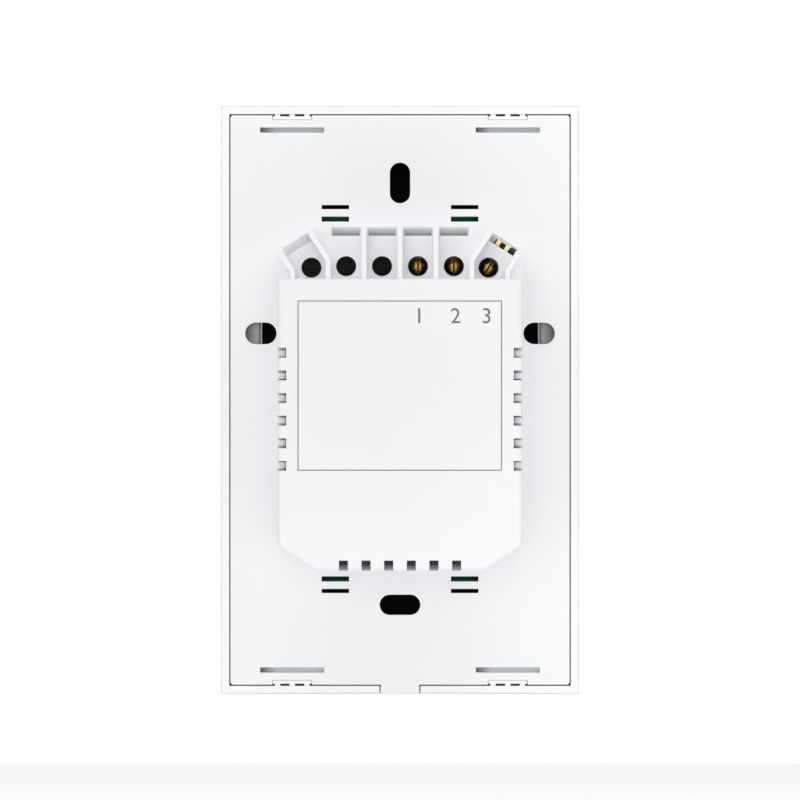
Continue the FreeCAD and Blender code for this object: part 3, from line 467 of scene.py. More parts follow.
@dataclass(frozen=True)
class BackedGlass:
    """Clear glass with a white print behind it."""

    name: str
    colour: Colour
    tint: float = 0.985
    gloss: Span = (0.04, 0.07)

    def make(self) -> bpy.types.Material:
        """Build the material.

        Returns:
            The material.
        """
        nodes = Surface(self.name)
        return nodes.finished(
            Base_Color=nodes.mix(nodes.noise(40.0), dimmed(self.colour, self.tint), self.colour),
            Roughness=nodes.between(nodes.noise(200.0), *self.gloss),
            Coat_Weight=1.0,
            Coat_Roughness=0.02,
        )


class Finishes(Enum):
    """Every finish of the dimmer."""

    SHELL = Plastic("shell_white", (0.905, 0.91, 0.925), 0.42, edge=0.00004)
    # painted shade on the frame's inner flange and walls, seen through the slots and the seam
    COVER = Plastic(
        "cover_white", (0.91, 0.915, 0.925), 0.3, 0.02, 12000.0, 0.000002, 0.00004,
        bare=BareInside((0.25, 0.285, 0.295)),
    )
    # painted shade: thin sheets, dark where their share is low and lighter where it is high, in the flex
    # grooves, the vents, the window bay's end and on the wire-entry sills
    WEB = Graded("groove_painted_shade", (0.16, 0.175, 0.18), (0.62, 0.65, 0.66))
    FISH_PAPER = Graded("fish_paper", (0.012, 0.022, 0.022), (0.5, 0.53, 0.54))
    SILL = Graded("sill_painted_shade", (0.27, 0.295, 0.3), (0.84, 0.87, 0.88))
    GLASS = BackedGlass("front_glass", (0.93, 0.93, 0.935))
    FILM = Plastic("mask_black", (0.005, 0.006, 0.0075), 0.6, 0.2, 4000.0, 0.000003, 0.0, 0.02)
    BOARD = BoardFinish("board_green", (0.002, 0.068, 0.028), (0.005, 0.11, 0.045))
    POWER = BoardFinish("power_board_black", (0.02, 0.022, 0.022), (0.03, 0.032, 0.032), 0.0021)
    GUIDE = Plastic("guide_white", (0.78, 0.79, 0.78), 0.5)
    CHIP = Plastic("chip_black", (0.018, 0.018, 0.02), 0.55, 0.3, 7000.0, 0.000008, 0.00005)
    MODULE = BoardFinish("module_blue", (0.004, 0.012, 0.05), (0.01, 0.03, 0.11), 0.001)
    TIN = Metal("tinned_steel", (0.72, 0.72, 0.73), 0.28)
    HEADER = Plastic("header_black", (0.012, 0.012, 0.012), 0.45)
    STEEL = Metal("screw_steel", (0.6, 0.6, 0.62), 0.3)
    SLEEVE = Plastic("capacitor_sleeve", (0.012, 0.014, 0.03), 0.28, 0.2, 3000.0)
    BOX = Plastic("capacitor_box", (0.62, 0.42, 0.05), 0.35, 0.08)
    VARISTOR = Plastic("varistor_blue", (0.02, 0.09, 0.32), 0.3, 0.15, 1500.0, 0.00002)
    FERRITE = Plastic("ferrite", (0.03, 0.03, 0.032), 0.6, 0.3, 4000.0, 0.00002)
    TAPE = Winding("coil_tape", (0.75, 0.55, 0.06), (0.5, 0.33, 0.03), "Y", 0.0016, 0.3)
    COPPER = Metal("copper_wire", (0.72, 0.3, 0.12), 0.28)
    CERAMIC = Plastic("fuse_ceramic", (0.72, 0.7, 0.62), 0.3)
    ALUMINIUM = Metal("sink_aluminium", (0.45, 0.455, 0.46), 0.42, (400.0, 6.0, 4000.0))
    SPRING = Metal("spring_steel", (0.7, 0.68, 0.63), 0.25)
    BRASS = Metal("contact_brass", (0.52, 0.45, 0.26), 0.28, (3000.0, 3000.0, 300.0))
    # near-black painted shade: stands for the deep, unlit clamp, not the plated steel's own colour
    NICKEL = Metal("cage_painted_shade", (0.03, 0.029, 0.028), 0.45)
    # painted highlight beside the slot and painted shade towards the rim
    SCREW = HandledBrass("screw_brass", (0.42, 0.25, 0.07), (0.026, 0.012, 0.004))
    STRIPE = Plastic("sleeve_stripe", (0.3, 0.31, 0.33), 0.3, 0.1, 3000.0)
    CAN = Metal("can_top", (0.36, 0.365, 0.37), 0.5)
    GOLD = Metal("gilded_pad", (0.85, 0.62, 0.25), 0.25)
    LED = Plastic("led_white", (0.85, 0.8, 0.45), 0.3)
    INK = Plastic("label_ink", (0.16, 0.165, 0.175), 0.6, 0.1, 3000.0, 0.000001, 0.0)
    MARK = Plastic("front_mark", (0.5, 0.51, 0.53), 0.3, 0.04, 3000.0, 0.000001, 0.0)


class Paint:
    """Makes each finish once and gives it to nodes and pieces."""

    def __init__(self) -> None:
        """Start with no material made."""
        self.made: dict[Finishes, bpy.types.Material] = {}

    def of(self, finish: Finishes) -> bpy.types.Material:
        """The material of a finish.

        Args:
            finish: the finish.

        Returns:
            Its material.
        """
        if finish not in self.made:
            self.made[finish] = finish.value.make()
        return self.made[finish]

    def dress(self, piece: Piece, finish: Finishes) -> None:
        """Give a piece one finish all over."""
        piece.data.materials.clear()
        piece.data.materials.append(self.of(finish))


NODE_FINISHES: dict[str, Finishes] = {
    "rear_shell": Finishes.SHELL,
    "bezel_frame": Finishes.COVER,
    "glass_panel": Finishes.GLASS,
    "light_mask": Finishes.FILM,
    "touch_board": Finishes.BOARD,
    "power_board": Finishes.POWER,
    "light_guide": Finishes.GUIDE,
    "touch_chip": Finishes.CHIP,
    "driver_chip": Finishes.CHIP,
    "transistor_1": Finishes.CHIP,
    "transistor_2": Finishes.CHIP,
    "bridge_rectifier": Finishes.CHIP,
    "wireless_module": Finishes.MODULE,
    "shield_can": Finishes.TIN,
    "header_socket": Finishes.HEADER,
    "header_plug": Finishes.HEADER,
    "power_board_screws": Finishes.STEEL,
    "transistor_screws": Finishes.STEEL,
    "bulk_capacitor_1": Finishes.SLEEVE,
    "bulk_capacitor_2": Finishes.SLEEVE,
    "film_capacitor": Finishes.BOX,
    "varistor": Finishes.VARISTOR,
    "transformer_core": Finishes.FERRITE,
    "transformer_coil": Finishes.TAPE,
    "line_choke": Finishes.COPPER,
    "board_fuse": Finishes.CERAMIC,
    "heat_sink": Finishes.ALUMINIUM,
}
for number in (1, 2, 3):
    NODE_FINISHES[f"touch_spring_{number}"] = Finishes.SPRING
    NODE_FINISHES[f"contact_bracket_{number}"] = Finishes.BRASS
    NODE_FINISHES[f"clamp_cage_{number}"] = Finishes.NICKEL
    NODE_FINISHES[f"clamp_screw_{number}"] = Finishes.SCREW
for number in range(1, 6):
    NODE_FINISHES[f"level_led_{number}"] = Finishes.LED


class Bench:
    """Modelling steps on one mesh at a time. Lengths are in millimetres."""

    @staticmethod
    def clear() -> None:
        """Leave edit mode and deselect everything."""
        if bpy.context.object and bpy.context.object.mode != "OBJECT":
            bpy.ops.object.mode_set(mode="OBJECT")
        bpy.ops.object.select_all(action="DESELECT")

    @staticmethod
    def take(piece: Piece) -> None:
        """Make one piece the only one at hand.

        Args:
            piece: the piece.
        """
        Bench.clear()
        piece.select_set(True)
        bpy.context.view_layer.objects.active = piece

    @staticmethod
    def open(piece: Piece) -> None:
        """Take a piece into edit mode with all of it selected.

        Args:
            piece: the piece.
        """
        Bench.take(piece)
        bpy.ops.object.mode_set(mode="EDIT")
        bpy.ops.mesh.select_all(action="SELECT")

    @staticmethod
    def named(name: str) -> Piece:
        """Name the primitive that was just added, and put its place in its mesh.

        Args:
            name: name of the piece and its mesh.

        Returns:
            The piece.
        """
        piece = bpy.context.object
        piece.name = name
        piece.data.name = name
        Bench.take(piece)
        bpy.ops.object.transform_apply(location=True, rotation=True, scale=True)
        return piece

    @staticmethod
    def block(name: str, low: Point, high: Point) -> Piece:
        """A box between two corners.

        Args:
            name: name of the piece.
            low: the corner with the least coordinates.
            high: the corner with the greatest.

        Returns:
            The box.
        """
        Bench.clear()
        middle = [(a + b) / 2 * MM for a, b in zip(low, high)]
        size = [(b - a) * MM for a, b in zip(low, high)]
        bpy.ops.mesh.primitive_cube_add(size=1, location=middle, scale=size)
        return Bench.named(name)

    @staticmethod
    def rod(name: str, foot: Point, length: float, radius: float, sides: int = 32) -> Piece:
        """A round rod along Y, from its foot.

        Args:
            name: name of the piece.
            foot: middle of its lower end.
            length: its length.
            radius: its radius.
            sides: how many sides it has.

        Returns:
            The rod.
        """
        Bench.clear()
        middle = Vector(foot) + Vector((0, length / 2, 0))
        bpy.ops.mesh.primitive_cylinder_add(
            vertices=sides,
            radius=radius * MM,
            depth=length * MM,
            location=middle * MM,
            rotation=(math.radians(90), 0, 0),
        )
        return Bench.named(name)

    @staticmethod
    def spun(name: str, outline: Sequence[Span], steps: int) -> Piece:
        """Spin an outline round the Y axis into a closed solid.

        Args:
            name: name of the piece.
            outline: radius and height of each point.
            steps: sides of the solid.

        Returns:
            The piece.
        """
        Bench.clear()
        bpy.ops.mesh.primitive_plane_add(size=1)
        piece = Bench.named(name)
        Bench.open(piece)
        mesh = bmesh.from_edit_mesh(piece.data)
        bmesh.ops.delete(mesh, geom=mesh.verts[:], context="VERTS")
        points = [mesh.verts.new((radius * MM, height * MM, 0.0)) for radius, height in outline]
        for first, second in zip(points, points[1:]):
            mesh.edges.new((first, second))
        bmesh.update_edit_mesh(piece.data)
        bpy.ops.mesh.select_all(action="SELECT")
        bpy.ops.mesh.spin(steps=steps, angle=math.tau, center=(0, 0, 0), axis=(0, 1, 0))
        bpy.ops.mesh.select_all(action="SELECT")
        bpy.ops.mesh.remove_doubles(threshold=1e-7)
        bpy.ops.mesh.normals_make_consistent(inside=False)
        Bench.done(piece)
        return piece

    @staticmethod
    def pick(piece: Piece, wanted: Callable[[bmesh.types.BMFace], bool]) -> None:
        """Select the faces that a test wants, in edit mode.

        Args:
            piece: the piece.
            wanted: says of a face whether it is selected.
        """
        if piece.mode != "EDIT":
            Bench.open(piece)
        bpy.ops.mesh.select_mode(type="FACE")
        mesh = bmesh.from_edit_mesh(piece.data)
        for face in mesh.faces:
            face.select_set(wanted(face))
        mesh.select_flush_mode()
        bmesh.update_edit_mesh(piece.data)

    @staticmethod
    def done(piece: Piece, smooth_angle: float = 40.0) -> None:
        """Leave edit mode and smooth what isn't a sharp edge."""
        Bench.take(piece)
        bpy.ops.object.shade_smooth_by_angle(angle=math.radians(smooth_angle))

    @staticmethod
    def bevel(piece: Piece, width: float, segments: int = 1, angle: float = 40.0) -> None:
        """Round the edges that are sharper than an angle.

        Args:
            piece: the piece.
            width: how wide the rounding is.
            segments: its steps.
            angle: the least turn of an edge that is rounded, in degrees.
        """
        modifier = piece.modifiers.new("edges", "BEVEL")
        modifier.width = width * MM
        modifier.segments = segments
        modifier.limit_method = "ANGLE"
        modifier.angle_limit = math.radians(angle)
        Bench.apply(piece, modifier)

    @staticmethod
    def apply(piece: Piece, modifier: bpy.types.Modifier) -> None:
        """Apply a modifier."""
        Bench.take(piece)
        bpy.ops.object.modifier_apply(modifier=modifier.name)

    @staticmethod
    def cut(piece: Piece, tool: Piece) -> None:
        """Cut one piece with another, and remove the tool.

        Args:
            piece: what is cut.
            tool: what cuts it.
        """
        modifier = piece.modifiers.new("cut", "BOOLEAN")
        modifier.object = tool
        modifier.operation = "DIFFERENCE"
        modifier.solver = "EXACT"
        Bench.apply(piece, modifier)
        bpy.data.objects.remove(tool)

    @staticmethod
    def moved(piece: Piece, move: Matrix) -> Piece:
        """Move a piece within its mesh.

        Args:
            piece: the piece.
            move: how it is moved.

        Returns:
            The piece.
        """
        piece.data.transform(move)
        piece.data.update()
        return piece

    @staticmethod
    def copies(model: Piece, moves: dict[str, Matrix]) -> list[Piece]:
        """Copy a model to each of its places, and remove it.

        Args:
            model: the piece to copy.
            moves: how each copy is moved within its own mesh, under the copy's name.

        Returns:
            The copies.
        """
        twins = []
        for name, move in moves.items():
            twin = model.copy()
            twin.data = model.data.copy()
            twin.name = name
            twin.data.name = name
            bpy.context.scene.collection.objects.link(twin)
            twins.append(Bench.moved(twin, move))
        bpy.data.objects.remove(model)
        return twins

    @staticmethod
    def join(pieces: Sequence[Piece], name: str, width: float = 0.0, segments: int = 1) -> Piece:
        """Join pieces into one.

        Args:
            pieces: the pieces.
            name: name of the whole.
            width: by how much its sharp edges are rounded.
            segments: steps of that rounding.

        Returns:
            The whole.
        """
        Bench.take(pieces[0])
        if len(pieces) > 1:
            for piece in pieces:
                piece.select_set(True)
            bpy.ops.object.join()
        whole = bpy.context.object
        whole.name = name
        whole.data.name = name
        if width:
            Bench.bevel(whole, width, segments)
        return whole


class Maker:
    """What every sub-assembly shares: the paints, and the report of each piece."""

    def __init__(self, paint: Paint) -> None:
        """Keep the paints at hand."""
        self.paint = paint

    def fit(
        self, piece: Piece, body: Body, finish: Finishes, stands_for: Iterable[str] = (), slot: str = ""
    ) -> Piece:
        """Dress a piece, let it ride on its body and report it.

        Args:
            piece: the finished piece.
            body: the body that carries it.
            finish: its finish.
            stands_for: CAD nodes that it replaces.
            slot: not used.

        Returns:
            The piece.
        """
        self.paint.dress(piece, finish)
        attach(piece, body.value)
        nodes = list(stands_for)
        if nodes:
            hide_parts(*nodes)
        log.info("%s rides on %s", piece.name, body.value)
        return piece


@dataclass
class Label:
    """The printed border on the housing and the numbers over the terminals, in millimetres."""

    maker: Maker
    left: float = 20.8
    right: float = -20.7
    top: float = 20.2
    bottom: float = -14.35
    line: float = 0.2
    height: float = 0.015
    face: float = 26.0
    numeral_height: float = 3.1
    numeral_foot: float = 15.6
    numeral_places: tuple[float, ...] = (-3.9, -11.3, -17.6)
    capital_share: float = 0.7

    def build(self) -> None:
        """Build the border and the numerals."""
        self.border()
        for order, across in enumerate(self.numeral_places, start=1):
            self.numeral(str(order), across)

    def border(self) -> None:
        """A thin printed frame, with nothing in it."""
        low = (self.right, self.face, self.bottom)
        high = (self.left, self.face + self.height, self.top)
        piece = Bench.block("label_border", low, high)
        Bench.pick(piece, lambda face: abs(face.normal.y) > 0.9)
        bpy.ops.mesh.inset(thickness=self.line * MM)
        half_area = (self.left - self.right) * (self.top - self.bottom) * MM ** 2 / 2
        Bench.pick(piece, lambda face: face.calc_area() > half_area)
        bpy.ops.mesh.bridge_edge_loops()
        Bench.done(piece)
        self.maker.fit(piece, Body.BASE, Finishes.INK, slot="shell_white")

    def numeral(self, text: str, across: float) -> None:
        """One plain number over its terminal.

        Args:
            text: the figure.
            across: middle of the figure.
        """
        Bench.clear()
        bpy.ops.object.text_add()
        figure = bpy.context.object
        figure.data.body = text
        figure.data.align_x = "CENTER"
        figure.data.size = self.numeral_height * MM / self.capital_share
        figure.data.extrude = self.height / 2 * MM
        bpy.ops.object.convert(target="MESH")
        turn = Matrix(((-1, 0, 0, 0), (0, 0, 1, 0), (0, 1, 0, 0), (0, 0, 0, 1)))
        piece = Bench.named(f"terminal_numeral_{text}")
        Bench.moved(piece, at((across, self.face + self.height / 2, self.numeral_foot)) @ turn)
        self.maker.fit(piece, Body.BASE, Finishes.INK, slot="shell_white")


class Drive(Enum):
    """What the head of a screw offers to a driver."""

    SLOT = "slot"
    CROSS = "cross"


@dataclass
class Fastener:
    """A screw along Y with its head's seat at y = 0 and its head on the far side, in millimetres."""

    shaft: float
    length: float
    head: float
    height: float
    drive: Drive
    recess: float
    recess_depth: float
    pitch: float = 0.5
    rim: float = 0.6
    thread: float = 0.2
    tip: float = 0.3
    edge: float = 0.05
    cross_share: float = 0.62
    # where the painted highlight beside the slot lies and how wide it is, as shares of the head
    streak: float = 0.2
    streak_width: float = 0.12
    sides: int = 40

    def outline(self) -> list[Span]:
        """Radius and height of each point: tip, thread, seat and domed head.

        Returns:
            The points, from the tip to the top of the head.
        """
        root = self.shaft - self.thread
        points = [(0.0, -self.length), (self.shaft - self.tip, -self.length)]
        height = self.tip - self.length
        while height < -self.pitch:
            points += [(root, height), (self.shaft, height + self.pitch / 2)]
            height += self.pitch
        rim = self.height * self.rim
        points += [(root, 0.0), (self.head - 0.08, 0.0), (self.head, 0.1), (self.head, rim)]
        for step in range(1, 6):
            turn = math.radians(15 * step)
            points.append((self.head * math.cos(turn), rim + (self.height - rim) * math.sin(turn)))
        points.append((0.0, self.height))
        return points

    def build(self, name: str) -> Piece:
        """Spin the screw, cut what the driver fits, and note each point's painted highlight and shade.

        Args:
            name: name of the piece.

        Returns:
            The screw, at the origin.
        """
        piece = Bench.spun(name, self.outline(), self.sides)
        floor, top = self.height - self.recess_depth, self.height + 0.5
        half = self.recess / 2
        reach = self.head + 0.5 if self.drive is Drive.SLOT else self.head * self.cross_share
        Bench.cut(piece, Bench.block("cut_up", (-half, floor, -reach), (half, top, reach)))
        if self.drive is Drive.CROSS:
            Bench.cut(piece, Bench.block("cut_across", (-reach, floor, -half), (reach, top, half)))
        Bench.bevel(piece, self.edge, angle=50)
        Bench.done(piece, 35)
        # painted highlight and shade of the head, read by the brass finish
        wear = piece.data.attributes.new("wear", "FLOAT", "POINT")
        for point, vertex in zip(wear.data, piece.data.vertices):
            point.value = self.wear(vertex.co / MM) if vertex.co.y > floor * MM + 1e-5 else 0.0
        return piece

    def wear(self, place: Vector) -> float:
        """The painted highlight of a point of the head, most near the middle beside the slot, with painted
        shade towards the rim.

        Args:
            place: the point, in millimetres.

        Returns:
            The brightness from 0 to 1.
        """
        away = math.hypot(place.x, place.z) / self.head
        beside = (abs(place.x) / self.head - self.streak) / self.streak_width
        return max(0.0, min(1.0, (1.0 - away ** 2) * (0.3 + 0.8 * math.exp(-(beside ** 2)))))


@dataclass
class Terminals:
    """The three clamping screws, and the lips round the six driver holes, in millimetres."""

    maker: Maker
    screw: Fastener
    seat: float = 15.8
    places: tuple[tuple[float, float, float], ...] = (
        (-3.65, 27.2, 0.0),
        (-10.95, 27.2, 0.0),
        (-18.0, 26.9, math.atan2(5.0, 7.8)),
    )
    floor: float = 19.0
    hole: float = 2.025
    lip: float = 0.22
    lip_height: float = 0.14
    lip_root: float = 0.3

    def build(self) -> None:
        """Model one screw and one lip, and put a copy in each place."""
        moves = {
            f"brass_screw_{order}": at((across, self.seat, up)) @ Matrix.Rotation(-lean, 4, "Y")
            for order, (across, up, lean) in enumerate(self.places, start=1)
        }
        screws = Bench.copies(self.screw.build("screw_model"), moves)
        for order, piece in enumerate(screws, start=1):
            self.maker.fit(piece, Body(f"screw_{order}"), Finishes.SCREW, [f"clamp_screw_{order}"])
        self.lips()

    def lips(self) -> None:
        """A low rounded lip round each driver hole."""
        inner, outer = self.hole, self.hole + self.lip
        outline = [
            (inner, -self.lip_root),
            (inner, self.lip_height * 0.4),
            (inner + 0.06, self.lip_height),
            (outer - 0.08, self.lip_height * 0.9),
            (outer, 0.0),
            (outer, -self.lip_root),
            (inner, -self.lip_root),
        ]
        moves = {
            f"hole_lip_{word}_{order}": at((side * across, self.floor, up))
            for side, word in ((1, "right"), (-1, "left"))
            for order, (across, up, _) in enumerate(self.places, start=1)
        }
        for piece in Bench.copies(Bench.spun("lip_model", outline, 56), moves):
            self.maker.fit(piece, Body.BASE, Finishes.SHELL)


@dataclass
class BoardFasteners:
    """The screws that hold the power board and the two transistors, in millimetres."""

    maker: Maker
    board_screw: Fastener
    sink_screw: Fastener
    board_face: float = 3.8
    board_places: tuple[Span, ...] = ((20.2, 19), (-20.2, 19), (20.2, -24.5), (-20.2, -24.5))
    sink_face: float = -13.2
    sink_height: float = 16.8
    sink_places: Span = (-9.0, 1.0)

    def build(self) -> None:
        """Build the screws of the board, and then those of the heat sink."""
        turn = Matrix.Rotation(math.pi, 4, "X")
        places = [at((across, self.board_face, up)) @ turn for across, up in self.board_places]
        self.row("board_screws", self.board_screw, places, "power_board_screws")
        turn = Matrix.Rotation(-math.pi / 2, 4, "Z")
        places = [at((self.sink_face, self.sink_height, up)) @ turn for up in self.sink_places]
        self.row("sink_screws", self.sink_screw, places, "transistor_screws")

    def row(self, name: str, screw: Fastener, places: list[Matrix], node: str) -> None:
        """Model a screw once, and join a copy in each place into one piece.

        Args:
            name: name of the piece.
            screw: the kind of screw.
            places: how each copy is moved.
            node: the CAD node that the piece replaces.
        """
        moves = {f"{name}_{order}": place for order, place in enumerate(places, start=1)}
        whole = Bench.join(Bench.copies(screw.build("screw_model"), moves), name)
        self.maker.fit(whole, Body.BASE, Finishes.STEEL, [node])


@dataclass
class Choke:
    """A ring core with a winding of thick wire, in millimetres."""

    maker: Maker
    middle: Point = (-1.0, 7.85, -6.0)
    radius: float = 4.2
    ring: float = 1.6
    height: float = 3.9
    edge: float = 0.3
    wire: float = 0.3
    turns: int = 24
    left_out: int = 3

    def build(self) -> None:
        """Build the core and the winding round it."""
        half, edge = self.height / 2, self.edge
        inner, outer = self.radius - self.ring, self.radius + self.ring
        outline = [
            (inner, -half + edge), (inner + edge, -half), (outer - edge, -half), (outer, -half + edge),
            (outer, half - edge), (outer - edge, half), (inner + edge, half), (inner, half - edge),
            (inner, -half + edge),
        ]
        core = Bench.moved(Bench.spun("choke_core", outline, 48), at(self.middle))
        self.maker.fit(core, Body.BASE, Finishes.FERRITE)
        loop = self.ring + self.wire
        Bench.clear()
        bpy.ops.mesh.primitive_torus_add(
            major_radius=loop * MM, minor_radius=self.wire * MM, major_segments=16, minor_segments=6
        )
        model = Bench.named("loop_model")
        Bench.moved(model, Matrix.Diagonal((1, (half + self.wire) / loop, 1, 1)))
        step = math.tau / (self.turns + self.left_out)
        moves = {
            f"loop_{turn}": at(self.middle) @ Matrix.Rotation(step * turn, 4, "Y") @ at((self.radius, 0, 0))
            for turn in range(self.turns)
        }
        whole = Bench.join(Bench.copies(model, moves), "choke_winding")
        Bench.done(whole, 60)
        self.maker.fit(whole, Body.BASE, Finishes.COPPER, ["line_choke"])


@dataclass
class Capacitor:
    """An upright electrolytic can: a sleeve with a groove and a pale stripe, and a vented top, in mm."""

    maker: Maker
    order: int
    across: float
    up: float
    height: float
    radius: float = 5.0
    seat: float = 5.4
    groove: float = 2.0
    stripe: float = 0.36
    top_sink: float = 0.25
    vent: float = 0.1
    vent_turns: tuple[int, ...] = (0, 60, 120)

    def build(self) -> None:
        """Build the sleeve and the top."""
        place = at((self.across, self.seat, self.up))
        self.sleeve(place)
        self.top(place)

    def sleeve(self, place: Matrix) -> None:
        """The sleeve, drawn over the can's edge, with its stripe.

        Args:
            place: how the capacitor is moved to its place.
        """
        radius, height, groove = self.radius, self.height, self.groove
        outline = [
            (0.0, 0.3), (radius - 0.6, 0.3), (radius - 0.5, 0.0), (radius, 0.4), (radius, groove - 0.5),
            (radius - 0.4, groove), (radius, groove + 0.5), (radius, height - 0.7),
            (radius - 0.2, height - 0.2), (radius - 0.6, height), (radius - 1.3, height),
            (radius - 1.35, height - self.top_sink), (0.0, height - self.top_sink),
        ]
        sleeve = Bench.spun(f"capacitor_sleeve_{self.order}", outline, 48)
        self.maker.fit(sleeve, Body.BASE, Finishes.SLEEVE, [f"bulk_capacitor_{self.order}"])
        sleeve.data.materials.append(self.maker.paint.of(Finishes.STRIPE))
        for face in sleeve.data.polygons:
            side = abs(math.atan2(face.center.z, face.center.x))
            away = math.hypot(face.center.x, face.center.z) / MM
            if side < self.stripe and away > radius - 0.7:
                face.material_index = 1
        Bench.moved(sleeve, place)

    def top(self, place: Matrix) -> None:
        """The can's top with three crossing vent grooves.

        Args:
            place: how the capacitor is moved to its place.
        """
        height, reach = self.height, self.radius - 2.2
        top = Bench.rod(f"capacitor_top_{self.order}", (0, height - 0.3, 0), 0.25, self.radius - 1.36, 40)
        for turn in self.vent_turns:
            low, high = (-reach, height - 0.12, -self.vent), (reach, height + 0.2, self.vent)
            tool = Bench.block("vent", low, high)
            Bench.cut(top, Bench.moved(tool, Matrix.Rotation(math.radians(turn), 4, "Y")))
        Bench.done(top, 30)
        Bench.moved(top, place)
        self.maker.fit(top, Body.BASE, Finishes.CAN, slot="capacitor_sleeve")


@dataclass
class Bobbin:
    """The feet of the transformer's bobbin with their pins, in millimetres."""

    maker: Maker
    left: float = 6.3
    right: float = 14.7
    rows: tuple[Span, ...] = ((-23.3, -22.3), (-11.7, -10.7))
    low: float = 5.4
    high: float = 7.6
    pins: int = 4
    pin: float = 0.3
    pin_length: float = 2.6
    pin_root: float = 0.2
    inset: float = 1.0

    def build(self) -> None:
        """Build a foot at each end of the coil, with a row of pins."""
        feet = []
        pins = []
        pitch = (self.right - self.left - 2 * self.inset) / (self.pins - 1)
        for near, far in self.rows:
            feet.append(Bench.block("foot", (self.left, self.low, near), (self.right, self.high, far)))
            for step in range(self.pins):
                across = self.left + self.inset + pitch * step
                foot = (across, self.low + self.pin_root - self.pin_length, (near + far) / 2)
                pins.append(Bench.rod("pin", foot, self.pin_length, self.pin, 12))
        self.maker.fit(Bench.join(feet, "bobbin_feet", 0.15, 2), Body.BASE, Finishes.HEADER)
        self.maker.fit(Bench.join(pins, "bobbin_pins", 0.08), Body.BASE, Finishes.TIN)


@dataclass
class FrontCover:
    """The front frame and its glass with the photograph's crisper corners and seam, in millimetres."""

    maker: Maker
    half_sizes: tuple[tuple[int, float], ...] = ((0, 36.5), (2, 60.0))
    inner_walls: tuple[tuple[int, float], ...] = ((0, 34.8), (2, 58.3))
    drawn_corner: float = 1.2
    corner: float = 0.4
    seam: float = 0.04
    play: float = 0.01

    def build(self) -> None:
        """Stand for the two nodes with sharpened copies of them."""
        for node, name, finish in (
            ("bezel_frame", "front_frame", Finishes.COVER),
            ("glass_panel", "front_pane", Finishes.GLASS),
        ):
            piece = self.twin(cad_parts[node], name)
            for vertex in piece.data.vertices:
                self.sharpen(vertex.co)
                self.widen(vertex.co)
            Bench.done(piece, 30)
            self.maker.fit(piece, Body.COVER, finish, [node])

    @staticmethod
    def twin(node: Piece, name: str) -> Piece:
        """A merged copy of a node with its own mesh.

        Args:
            node: the CAD node.
            name: name of the copy.

        Returns:
            The copy.
        """
        piece = bpy.data.objects.new(name, node.data.copy())
        piece.data.name = name
        piece.data.transform(node.matrix_world)
        bpy.context.scene.collection.objects.link(piece)
        Bench.open(piece)
        bpy.ops.mesh.remove_doubles(threshold=0.0000005)
        bpy.ops.mesh.normals_make_consistent(inside=False)
        bpy.ops.object.mode_set(mode="OBJECT")
        bpy.ops.mesh.customdata_custom_splitnormals_clear()
        return piece

    def sharpen(self, place: Vector) -> None:
        """Draw a point of an outer corner in to the smaller radius.

        Args:
            place: the point, which is changed.
        """
        share = self.corner / self.drawn_corner
        past = [abs(place[axis]) / MM - (half - self.drawn_corner) for axis, half in self.half_sizes]
        if min(past) > -self.play:
            for (axis, half), beyond in zip(self.half_sizes, past):
                place[axis] = math.copysign((half - self.corner + beyond * share) * MM, place[axis])

    def widen(self, place: Vector) -> None:
        """Move a point of the inner walls out by the seam's extra width.

        Args:
            place: the point, which is changed.
        """
        for axis, wall in self.inner_walls:
            if abs(abs(place[axis]) / MM - wall) < self.play:
                place[axis] += math.copysign(self.seam * MM, place[axis])


@dataclass
class VentBars:
    """A bar in each side vent, which leaves a narrow gap above and below it, in millimetres."""

    maker: Maker
    pitch: float = 4.6
    count: int = 6
    middle: float = -1.9
    opening: float = 2.0
    near: float = 23.12
    far: float = 24.82
    low: float = 20.0
    high: float = 23.4
    gap: float = 0.2
    more: float = 0.34

    def build(self) -> None:
        """Build the bars of both sides as one piece. The wider gap goes from below to above."""
        bars = []
        last = self.count - 1
        for side in (1, -1):
            near, far = sorted((side * self.near, side * self.far))
            for order in range(self.count):
                up = self.middle + self.pitch * (order - last / 2)
                foot = up - self.opening / 2 + self.gap + self.more * (1 - order / last)
                top = up + self.opening / 2 - self.gap - self.more * order / last
                bars.append(Bench.block("bar", (near, self.low, foot), (far, self.high, top)))
        whole = Bench.join(bars, "vent_bars", 0.1, 2)
        Bench.done(whole)
        self.maker.fit(whole, Body.BASE, Finishes.SHELL)


class Run(Enum):
    """Along which way the colour of a lining changes."""

    ACROSS = 0
    UP = 2


